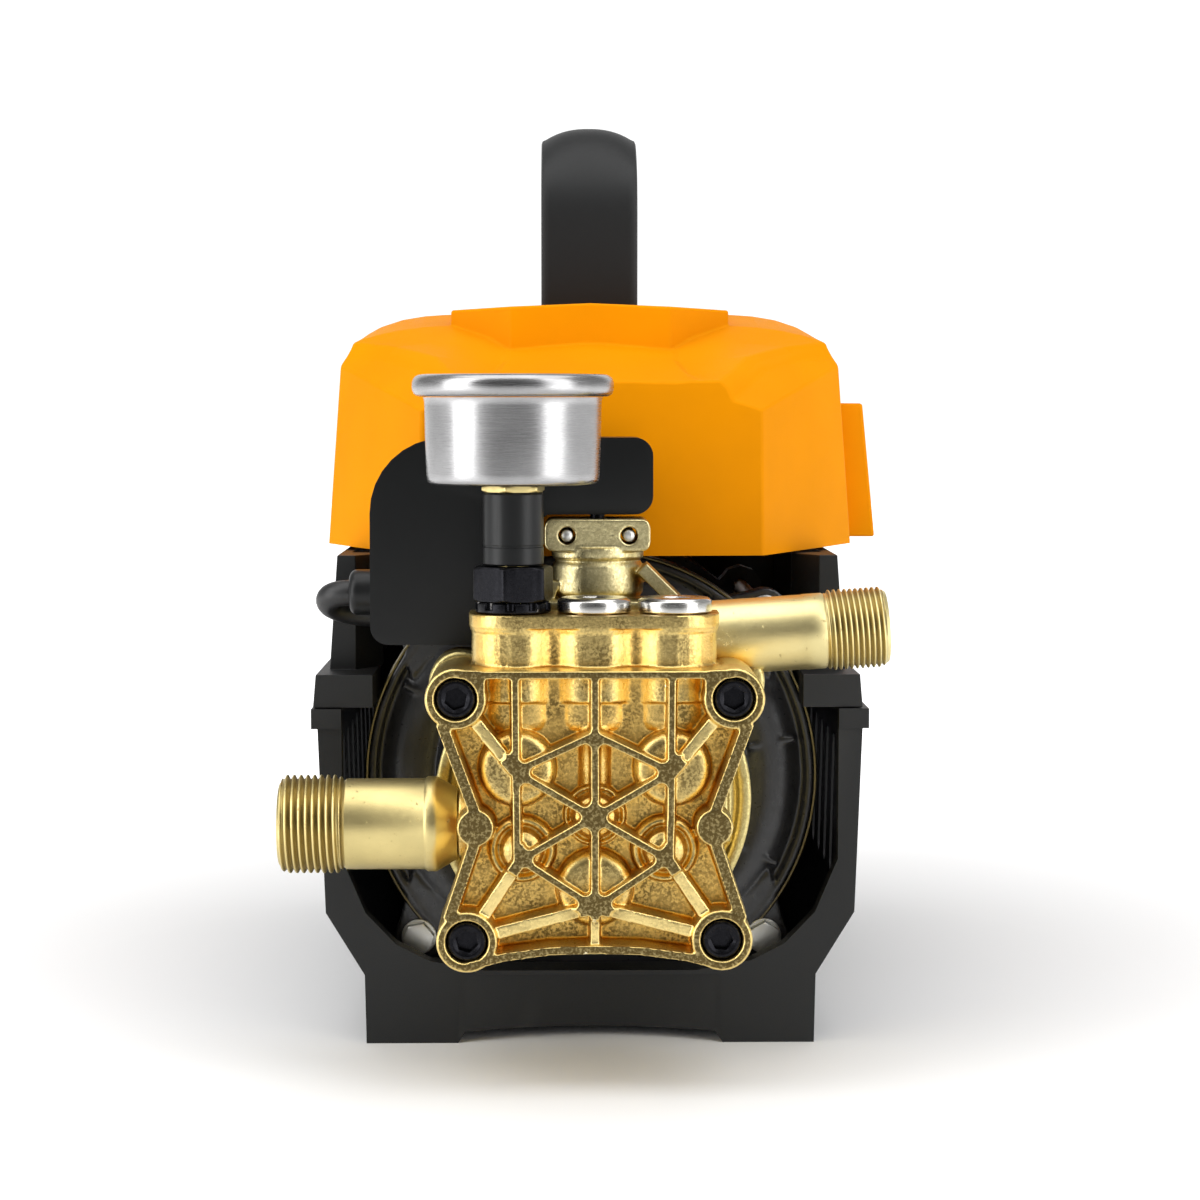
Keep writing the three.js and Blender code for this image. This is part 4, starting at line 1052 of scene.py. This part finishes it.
def gauge_neck():
    """Castellated adapter, union nut, sleeve and the hexagon of the stem."""
    collar = [(4.6, 116), (7.2, 116), (7.2, 126.4), (9.8, 126.4), (10, 126.6), (10, 128.7), (9.6, 129.1),
              (4.6, 129.1)]
    adapter = make_object("gauge_adapter_ring", lathe("z", collar, GAUGE_AT, 120, close=True))
    notch = [(0, 127.2), (1.35, 127.2), (1.35, 130), (0, 130)]
    notches = circle(GAUGE_AT, 10.1, [2 * math.pi * k / 10 + 0.25 for k in range(10)])
    carve(adapter, *[lathe("z", notch, place, 20) for place in notches])
    bevel(adapter, 0.15, 2, 40)
    finish(adapter, OXIDE, ["gauge_adapter"], "black_steel")
    nut = make_object("gauge_union_nut", hex_stock("z", GAUGE_AT, 19, 129.3, 138.5, 17.5, 1.1))
    bevel(nut, 0.25, 3, 25)
    finish(nut, OXIDE, ["gauge_nut"], "black_steel")
    turned("gauge_neck_sleeve", [
        (4.6, 138.8), (7.6, 138.8), (8, 139.2), (8, 143.4), (7.85, 143.6), (7.85, 144.0), (8, 144.2),
        (8, 157.3), (7.6, 157.8), (4.6, 157.8)],
        GAUGE_AT, BLACK_SMOOTH, ["gauge_sleeve"], "black_plastic", close=True)
    stem = make_object("gauge_stem_hexagon", hex_stock("z", GAUGE_AT, 15, 157.9, 159.8, 17.5, 0.9))
    spigot = make_object("spigot", lathe("z", [(0, 118), (4.2, 118), (4.2, 158), (0, 158)], GAUGE_AT, 32))
    bevel(stem, 0.15, 2, 25)
    join_objects(stem, spigot)
    finish(stem, BRASS, ["gauge_stem"], "brass")


def gauge_case():
    turned("gauge_can", [
        (0, 160), (20.6, 160), (21.6, 160.15), (22.3, 160.6), (22.62, 161.4), (22.75, 163), (23.05, 172),
        (23.2, 180.6), (23.3, 182.0), (23.6, 182.7), (22.4, 182.7), (22.2, 162), (21.2, 161.2), (0, 161.2)],
        GAUGE_AT, STEEL, ["gauge_case"], "polished_steel", segments=192, angle=40)
    turned("gauge_rolled_bezel", [
        (22.4, 182.95), (24.6, 182.9), (25.4, 183.15), (26.0, 183.7), (26.35, 184.5), (26.45, 185.5),
        (26.4, 186.6), (26.1, 187.5), (25.5, 188.2), (24.6, 188.6), (23.6, 188.7), (22.8, 188.45),
        (22.2, 187.8), (21.9, 187.0), (21.9, 186.4), (22.4, 186.2)],
        GAUGE_AT, STEEL, ["gauge_bezel"], "polished_steel", segments=192, close=True, angle=45)
    turned("gauge_window", [
        (0, 184.0), (21.2, 184.0), (21.7, 184.3), (21.7, 185.9), (21.2, 186.2), (0, 186.2)],
        GAUGE_AT, GLASS, ["gauge_lens"], "lens")


def on_dial(share, outline):
    """Points given as (outward, sideways) of the direction that shows a share of the scale."""
    angle = math.radians(ZERO_TURN - FULL_SWEEP * share)
    c, s = math.cos(angle), math.sin(angle)
    return [(GAUGE_AT[0] + c * a - s * b, GAUGE_AT[1] + s * a + c * b) for a, b in outline]


def dial_marks():
    """A ring and fifty steps, every fifth one longer and every tenth one longest."""
    low, high = INK_Z
    marks = [lathe("z", [(19.0, low), (19.25, low), (19.25, high), (19.0, high)], GAUGE_AT, 96, close=True)]
    count = 50
    for k in range(count + 1):
        inner, half = (16.2, 0.28) if k % 10 == 0 else (17.0, 0.2) if k % 5 == 0 else (17.7, 0.12)
        mark = on_dial(k / count, [(inner, half), (19, half), (19, -half), (inner, -half)])
        marks.append(extrude("z", mark, low, high))
    return make_object("ink", merge(*marks))


def dial_number(text, place):
    """A plain number of the scale, lying on the dial."""
    curve = bpy.data.curves.new("number", "FONT")
    curve.body = text
    curve.size = 3.1 * MM
    curve.align_x, curve.align_y = "CENTER", "CENTER"
    curve.extrude = 0.03 * MM
    label = link(bpy.data.objects.new("number", curve))
    label.location = to_row(place)
    bpy.context.view_layer.update()
    mesh = evaluated_mesh(label)
    mesh.transform(label.matrix_world)
    bpy.data.objects.remove(label)
    return link(bpy.data.objects.new("digits", mesh))


def dial():
    """White dial with scale marks and plain numbers, in one piece with two materials."""
    low, high = DIAL_Z
    plate = [(1.6, low), (20.9, low), (21, low + 0.1), (21, high - 0.1), (20.9, high), (1.6, high)]
    face = make_object("gauge_dial_plate", lathe("z", plate, GAUGE_AT, 96, close=True))
    face.data.materials.append(DIAL)
    face.data.materials.append(INK)
    ink = dial_marks()
    for k in range(6):
        place = on_dial(k / 5, [(13.4, 0)])[0]
        join_objects(ink, dial_number(str(k * 50), (*place, INK_Z[1] - 0.02)))
    for polygon in ink.data.polygons:
        polygon.material_index = 0
    paint(ink, INK)
    join_objects(face, ink)
    finish_piece(face, ["gauge_dial"])


def needle():
    outline = [(-7, 1.3), (-3, 0.8), (2, 0.8), (14, 0.42), (17, 0.12), (17, -0.12), (14, -0.42), (2, -0.8),
               (-3, -0.8), (-7, -1.3)]
    hub = [(0, 169), (1, 169), (1, 180), (2.3, 180), (2.4, 180.1), (2.4, 181.0), (2.0, 181.4), (0, 181.5)]
    shape = merge(extrude("z", on_dial(0, outline), 180.2, 180.7), lathe("z", hub, GAUGE_AT, 48))
    piece("gauge_pointer", shape, RED, ["gauge_needle"], "signal_red", "needle")


# ------------------------------------------------------------------ crankcase and motor
def crankcase():
    profile = [(0, 37.2), (38.6, 37.2), (39.3, 36.6), (39.6, 35.9), (40.2, 35.4), (42.3, 35.3), (42.9, 35.7),
               (43, 36.4), (43, 40.6), (42.4, 41.4), (40.4, 41.8), (39.6, 42.6), (39.5, 80), (33, 80),
               (33, 46), (0, 46)]
    shapes = [lathe("y", profile, (0, SHAFT_Z), 160)]
    ears = [(-36, 105.6), (37.0, 105.8), *LOW_BOLTS]
    for place, r in zip(ears, (8.6, 9.6, 7.6, 7.6)):
        ear = [(3.4, 35.6), (r - 0.8, 35.6), (r, 36.4), (r, 52), (r - 1.2, 54), (3.4, 54)]
        shapes.append(lathe("y", ear, place, 64, close=True))
    shapes.append(block((29, 36.5), (36, 39), (62, 81)))
    casting("crankcase_casting", shapes, 0.55, 2, 0.4, CAST_PLAIN, ["crankcase"], "cast_gold")


BOLT_CIRCLE = [(-50, 27), (50, 27), (-50, 121), (50, 121)]
LUG_R = 7


def bell_lug(x, z, low, high):
    """A triangular ear that carries a through-bolt out past the bell's rim."""
    out = np.array([x, z - SHAFT_Z])
    out /= np.linalg.norm(out)
    side = np.array([-out[1], out[0]])
    root = np.array([0, SHAFT_Z]) + out * 57
    nose = [(x, z) + LUG_R * (out * math.cos(t) + side * math.sin(t)) for t in degrees(-75, 75, 9)]
    outline = [tuple(p) for p in (root - side * 15, *nose, root + side * 15)]
    return extrude("y", outline, low, high)


def front_bell():
    """The motor's front bell: a hub dish, a hollow crown on ten thin struts, a rim and four lugs."""
    crown = [(r, 82.2 + 3.0 * ((r - 52.2) / 8.6) ** 2) for r in np.linspace(45.2, 60.6, 13)]
    profile = [(0, 80.3), (42.6, 80.3), (43.4, 80.7), (44.2, 82.2), (44.7, 84.2)] + crown
    profile += [(61.0, 85.6), (61.5, 84.6), (62.0, 83.2), (62.6, 82.7), (63.8, 82.6), (64.3, 82.9),
                (64.4, 92), (57, 92), (55, 88.5), (24, 88.5), (22, 94), (0, 94)]
    spokes = np.radians(np.arange(10, 360, 36))
    inner, outer = circle((0, SHAFT_Z), 46, spokes), circle((0, SHAFT_Z), 60, spokes)
    shapes = [lathe("y", profile, (0, SHAFT_Z), 200)]
    shapes += [rib(a, b, 1.6, 82.4, 88) for a, b in zip(inner, outer)]
    shapes += [bell_lug(x, z, 82.9, 91.6) for x, z in BOLT_CIRCLE]
    casting("motor_front_bell_casting", shapes, 0.6, 3, 0.4, PAINT, ["motor_front_bell"], "black_paint")
    spigot = [(64.45, 82.8), (64.9, 82.6), (65.25, 82.9), (65.3, 91.8), (64.45, 91.8)]
    piece("motor_bell_bare_spigot", lathe("y", spigot, (0, SHAFT_Z), 240, close=True), BARE, [], "zinc_steel")


def through_bolts():
    for i, (x, z) in enumerate(BOLT_CIRCLE):
        head = hex_stock("y", (x, z), 8.2, 78.2, 82.0, 11 + 17 * i, 0.55)
        washer = lathe("y", [(0, 81.7), (4.9, 81.7), (5.1, 81.9), (5.1, 82.6), (0, 82.6)], (x, z), 48)
        shank = lathe("y", [(0, 82.6), (2.5, 82.6), (2.5, 203.4), (2.0, 204), (0, 204)], (x, z), 32)
        bolt = make_object(f"motor_through_bolt_{i + 1}", merge(head, washer, shank))
        bevel(bolt, 0.15, 2, 25)
        finish(bolt, ZINC, [f"motor_bolt_{i + 1}"], "zinc_steel")


# ------------------------------------------------------------------ cover
FAN_STEP = (2.4, 1.5)
SIDE_FOOT, SIDE_TOP = (48.8, 72.0, 138.0), (78.5, 120.0, 139.0)


def cover_rows():
    """Half-sections of the cover, front to back: foot, shoulder line, two kinks and six roof points."""
    roof = [(70.9, 199.8), (68.8, 202.0), (64.3, 204.5), (57.6, 206.7), (50.4, 207.9), (44.5, 208.3),
            (41.7, 208.4)]
    slope = [(70.8, 199.0), (68.6, 199.9), (64.3, 201.2), (57.6, 202.7), (50.4, 203.7), (44.3, 204.1),
             (41.5, 204.2)]
    crease = [(73.0, (36.2, 187.4), (28.9, 187.4)), (82.0, (40.9, 190.9), (26.1, 190.2)),
              (92.0, (45.3, 194.8), (23.9, 193.6)), (100.0, (51.0, 196.3), (23.6, 196.4)),
              (107.0, (56.5, 197.5), (29.5, 200.0))]
    drops = [((2.1, -1.9), (3.8, -5.5)), ((2.1, -1.9), (4.2, -4.9)), ((2.3, -1.9), (4.6, -4.6)),
             ((2.3, -1.7), (4.4, -4.2)), ((2.0, -1.6), (4.0, -4.0))]
    rows = []
    for (y, (cx, cz), (hx, hz)), (kink, low) in zip(crease, drops):
        t = (y - 73.0) / 47.0
        foot = (SIDE_FOOT[0] + (SIDE_TOP[0] - SIDE_FOOT[0]) * t, y, 138 + t)
        shoulder = (48.3 + (74.6 - 48.3) * t, y, 179.2 + 13 * t)
        fx, fz = hx + FAN_STEP[0], hz + (cz - hz) * FAN_STEP[0] / (cx - hx) - FAN_STEP[1] * (80 < y < 95)
        line = [(cx + (fx - cx) * k / 5, y, cz + (fz - cz) * k / 5) for k in range(6)] + [(hx, y, hz)]
        rows.append([foot, shoulder, (cx + low[0], y, cz + low[1]), (cx + kink[0], y, cz + kink[1])] + line)
    side = [(78.5, 139.0), (74.6, 192.2), (72.7, 195.0), (71.3, 197.5)]
    rows.append([(x, 121.0, z) for x, z in side + slope])
    rows += [[(x, y, z) for x, z in side + roof] for y in (150.0, 238.0)]
    tail = [(57.0, 138.0), (55.3, 183.0), (54.0, 185.6), (52.6, 187.2), (51.0, 188.2), (48.5, 189.0),
            (46.0, 189.6), (43.0, 190.1), (38.0, 190.5), (34.0, 190.7), (32.0, 190.8)]
    rows.append([(x, 274.5, z) for x, z in tail])
    return rows


def cover_skin():
    """The cover's outside as facets: one half, and its mirror image."""
    rows = cover_rows()
    points = [p for row in rows for p in row]
    width = len(rows[0])
    last = width - 1

    def at(r, c):
        return r * width + c

    def add(*new):
        points.extend(new)
        return list(range(len(points) - len(new), len(points)))

    front_foot, front_top, front_edge = add((0, 70, 138), (0, 73, 187.5), (24, 73, 187.0))
    mid_low, mid_high = add((0, 82, 190.9), (0, 92, 194.8))
    base, arch = add((0, 100, 198.3), (5, 100, 198.1))
    crest, corner, wing, keel = add((0, 100, 210.2), (23.6, 100, 209.2), (41.5, 121, 208.8), (0, 150, 209.2))
    rear, tail_top, tail_foot = add((0, 238, 209.2), (0, 274.5, 191.0), (0, 276, 138))
    faces = [(at(r, c), at(r, c + 1), at(r + 1, c + 1), at(r + 1, c))
             for r in range(len(rows) - 1) for c in range(last)]
    faces += [
        (front_foot, *[at(0, c) for c in range(width)], front_edge, front_top),
        (front_top, front_edge, at(0, last), at(1, last), mid_low),
        (mid_low, at(1, last), at(2, last), mid_high),
        (mid_high, at(2, last), at(3, last), arch, base),
        (base, arch, at(3, last), corner, crest),
        (at(3, last), at(4, last), at(5, last), wing, corner),
        (at(5, last), at(6, last), wing),
        (crest, corner, wing, at(6, last), keel),
        (keel, at(6, last), at(7, last), rear),
        (rear, at(7, last), at(8, last), tail_top),
        (tail_top, *[at(8, c) for c in range(last, -1, -1)], tail_foot),
    ]
    half = np.array(points, float)
    return merge((half, faces), (half * np.array([-1, 1, 1]), [f[::-1] for f in faces]))


def cover():
    """The moulded cover: soft edges, a wall, and openings for the handle, the vents and the switch."""
    shell = make_object("cover_shell", cover_skin())
    weld(shell, 0.01)
    bevel(shell, 2.0, 5, 8)
    modify(shell, "SOLIDIFY", thickness=2.4 * MM, offset=-1, use_even_offset=True)
    slots = [block((-15.2, 15.2), (y - 0.4, y + 22.4), (185, 215)) for y in (132, 234)]
    vent = [(-4, 150, 3.9), (4, 150, 3.9), (4, 174, 3.9), (-4, 174, 3.9)]
    vents = [extrude("y", fillet([(x + a, z, r) for a, z, r in vent], 6), 264, 282)
             for x in (-28, -14, 0, 14, 28)]
    carve(shell, *slots, *vents, block((68, 84), (149, 162), (154.5, 166.5)))
    add_modifier(shell, "WEIGHTED_NORMAL", weight=100, keep_sharp=True)
    finish(shell, ORANGE, ["cover"], "orange_plastic", angle=180)


# ------------------------------------------------------------------ handle
def handle():
    """The carrying handle, one section swept along its arch; its back is crowned along the grip."""
    front, back, depth, top, foot = 132.0, 256.0, 22.0, 266.4, 197.0
    half, radius = 14.6, 19.0
    mid_front, mid_back, mid_top = front + depth / 2, back - depth / 2, top - depth / 2
    leg = mid_top - radius - foot
    quarter = np.linspace(0, math.pi / 2, 15)
    path = [(mid_front, foot + leg * t, 0.0) for t in np.linspace(0, 1, 14)]
    path += [(mid_front + radius - radius * math.cos(a), mid_top - radius + radius * math.sin(a), a)
             for a in quarter[1:]]
    path += [(y, mid_top, math.pi / 2) for y in np.linspace(mid_front + radius, mid_back - radius, 16)[1:-1]]
    path += [(mid_back - radius + radius * math.sin(a), mid_top - radius + radius * math.cos(a),
              math.pi / 2 + a) for a in quarter]
    path += [(mid_back, mid_top - radius - leg * t, math.pi) for t in np.linspace(0, 1, 14)[1:]]
    rings = []
    for y, z, turn in path:
        rise = np.clip((z - 243) / 12, 0, 1)
        crown = 4.3 * rise * rise * (3 - 2 * rise)
        outer = [(x, depth / 2 - crown * (abs(x) / half) ** 2.4)
                 for x in np.linspace(-half + 1.4, half - 1.4, 17)]
        edge = outer[0][1] - 1.3
        flank = [(half - 0.35, (outer[0][1] + edge) / 2 + 0.2), (half, edge), (half, -depth / 2 + 3),
                 (half - 1, -depth / 2 + 1), (half - 3, -depth / 2)]
        section = outer + flank + [(-x, v) for x, v in reversed(flank)]
        rings.append([(x, y - math.cos(turn) * v, z + math.sin(turn) * v) for x, v in section])
    piece("carry_handle_moulding", loft(rings), BLACK, ["handle"], "black_plastic", angle=40)


# ------------------------------------------------------------------ pressure switch box
def tray(outline, inner, front, floor, back):
    """A moulded box half, open towards `back`, its wall between two outlines."""
    rings = [(outline, front), (outline, back), (inner, back), (inner, floor)]
    return loft([[(a, y, b) for a, b in ring] for ring, y in rings])


def box_outline(inset):
    left, right, top, low = -60.8 + inset, 16.4 - inset, 171.8 - inset, 115.3 + inset
    step, floor = -14.1 - inset, 150.9 + inset
    r = max(5.0 - inset, 1.0)
    return fillet([(left, low, r), (step, low, r), (step, floor, 2.5), (right, floor, r), (right, top, r),
                   (left, top, 20.5 - inset)], 8)


def switch_box():
    lid = make_object("switch_box_lid", tray(box_outline(0), box_outline(2.1), 43.0, 45.2, 54.85))
    carve(lid, lathe("z", [(0, 148), (2.7, 148), (2.7, 154), (0, 154)], (TOWER_X, TOWER_Y), 32))
    bevel(lid, 1.9, 4, 50)
    finish(lid, BLACK_SMOOTH, ["switch_box_front"], "black_plastic", angle=35)
    base = make_object("switch_box_base", tray(box_outline(0), box_outline(2.1), 66.0, 63.8, 55.15))
    bevel(base, 1.4, 4, 50)
    finish(base, BLACK_SMOOTH, ["switch_box_rear"], "black_plastic", angle=35)


# ------------------------------------------------------------------ lead and glands
LEAD_R = 3.6
LEAD_ROUTE = [
    (-50, 60, 128.6), (-60, 60, 128.6), (-69.5, 60, 128.6), (-73.6, 62.3, 127.4), (-74.4, 66.4, 125),
    (-71, 70.4, 122.7), (-64, 72.4, 121.4), (-52, 72.6, 121.4), (-42, 73, 122.4), (-34, 75, 127),
    (-29.5, 80, 134.5), (-26, 87, 143), (-18, 96, 149.5), (0, 106, 153), (30, 122, 157), (56, 142, 159.5),
    (68, 153, 160.3), (78.6, 155.6, 160.5),
]


def held_lead():
    curve = bpy.data.curves.new("lead", "CURVE")
    curve.dimensions = "3D"
    curve.bevel_depth = LEAD_R * MM
    curve.bevel_resolution = 8
    curve.resolution_u = 8
    curve.use_fill_caps = True
    spline = curve.splines.new("NURBS")
    spline.points.add(len(LEAD_ROUTE) - 1)
    for point, place in zip(spline.points, to_row(LEAD_ROUTE)):
        point.co = (*place, 1)
    spline.order_u = 4
    spline.use_endpoint_u = True
    lead = link(bpy.data.objects.new("switch_lead_curve", curve))
    mesh = evaluated_mesh(lead)
    bpy.data.objects.remove(lead)
    tube = link(bpy.data.objects.new("switch_lead", mesh))
    finish(tube, RUBBER, ["switch_cable"], "cable_rubber", angle=60)


def lead_gland():
    turned("switch_gland_collar", [
        (3.9, -67.6), (4.6, -67.6), (5.3, -67.3), (5.9, -66.8), (6.25, -66.1), (6.35, -65.2), (6.35, -61.1),
        (3.9, -61.1)],
        LEAD_ROUTE[0][1:], BLACK_SMOOTH, ["cable_gland"], "black_plastic", axis="x", close=True)


# ------------------------------------------------------------------ side switch
def side_switch():
    def wall(z):
        """How far out the cover's drafted side stands."""
        return 78.5 - (z - 139) * 4 / 53

    z0, z1, y0, y1 = 140, 181, 140, 196
    skin = 2.5
    section = [(wall(z0), z0), (88, z0), (84, z1), (wall(z1), z1)]
    housing = make_object("switch_side_housing", extrude("y", section, y0, y1))
    carve(housing, block((70, 83), (y0 + skin, y1 - skin), (z0 + skin, z1 - skin)),
          block((80, 90), (154.4, 181.6), (149.4, 171.6)))
    bevel(housing, 0.9, 3, 40)
    finish(housing, ORANGE, ["switch_housing"], "orange_plastic", angle=40)


# ------------------------------------------------------------------ springs
def springs():
    """Each return spring as a round wire swept along its helix."""
    turns, wire, coil, low, high = 2.6, 0.75, 7.3, 45.2, 49.2
    steps, sides = 120, 10
    around = [2 * math.pi * k / sides for k in range(sides)]
    for i, (x, z) in enumerate(PLUNGERS):
        rings = []
        for k in range(steps + 1):
            t = 2 * math.pi * turns * k / steps
            section = circle((coil, low + (high - low) * k / steps), wire, around)
            rings.append([(x + r * math.cos(t), y, z + r * math.sin(t)) for r, y in section])
        piece(f"plunger_return_spring_{i + 1}", loft(rings), ZINC, [f"plunger_spring_{i + 1}"], "zinc_steel",
              angle=60)


# ------------------------------------------------------------------ CAD nodes that keep their shape
def refine(node, material, width, merge_flats):
    """Gives a CAD node softened edges and its material."""
    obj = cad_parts[node]
    add_modifier(obj, "WELD", merge_threshold=0.01 * MM)
    if merge_flats:
        add_modifier(obj, "DECIMATE", decimate_type="DISSOLVE", angle_limit=math.radians(1.0))
    add_modifier(obj, "BEVEL", **rounding(width, 4 if width > 1 else 2, 32))
    obj.data.shade_smooth()
    add_modifier(obj, "WEIGHTED_NORMAL", keep_sharp=True)
    if obj.material_slots:
        for slot in obj.material_slots:
            slot.material = material
    else:
        obj.data.materials.append(material)


KEPT = [    # nodes, material, width of the softened edge in mm
    (("lower_frame", "upper_frame"), BLACK_FRAME, 1.6),
    (("mains_gland", "rocker_switch_body", "cooling_fan", "micro_switch", "fan_cover"), BLACK_SMOOTH, 0.3),
    (("motor_rear_bell",), PAINT, 0.5),
    (("plunger_1", "plunger_2", "plunger_3", "thrust_bearing", "front_bearing", "rear_bearing"), STEEL, 0.2),
    (("motor_shaft",), ZINC, 0.2), (("swash_plate",), OXIDE, 0.3), (("gauge_movement",), BRASS, 0.3),
    (("motor_stator", "motor_rotor"), LAMINATED, 0.2), (("stator_winding",), COPPER, 0.8),
    (("capacitor",), DIAL, 0.6), (("rocker_button",), RED, 0.4),
]


def kept_nodes():
    for nodes, material, width in KEPT:
        for node in nodes:
            # the slotted walls of the lower frame shade evenly only on their own triangles
            refine(node, material, width, merge_flats=node != "lower_frame")


pump_head()
head_bolts()
inlet_fitting()
outlet_tube()
valve_plug("valve_plug_centre_cap", BANK_X[1], "valve_plug_centre")
valve_plug("valve_plug_right_cap", BANK_X[2], "valve_plug_right")
unloader()
gauge_neck()
gauge_case()
dial()
needle()
crankcase()
front_bell()
through_bolts()
cover()
handle()
switch_box()
held_lead()
lead_gland()
side_switch()
springs()
kept_nodes()
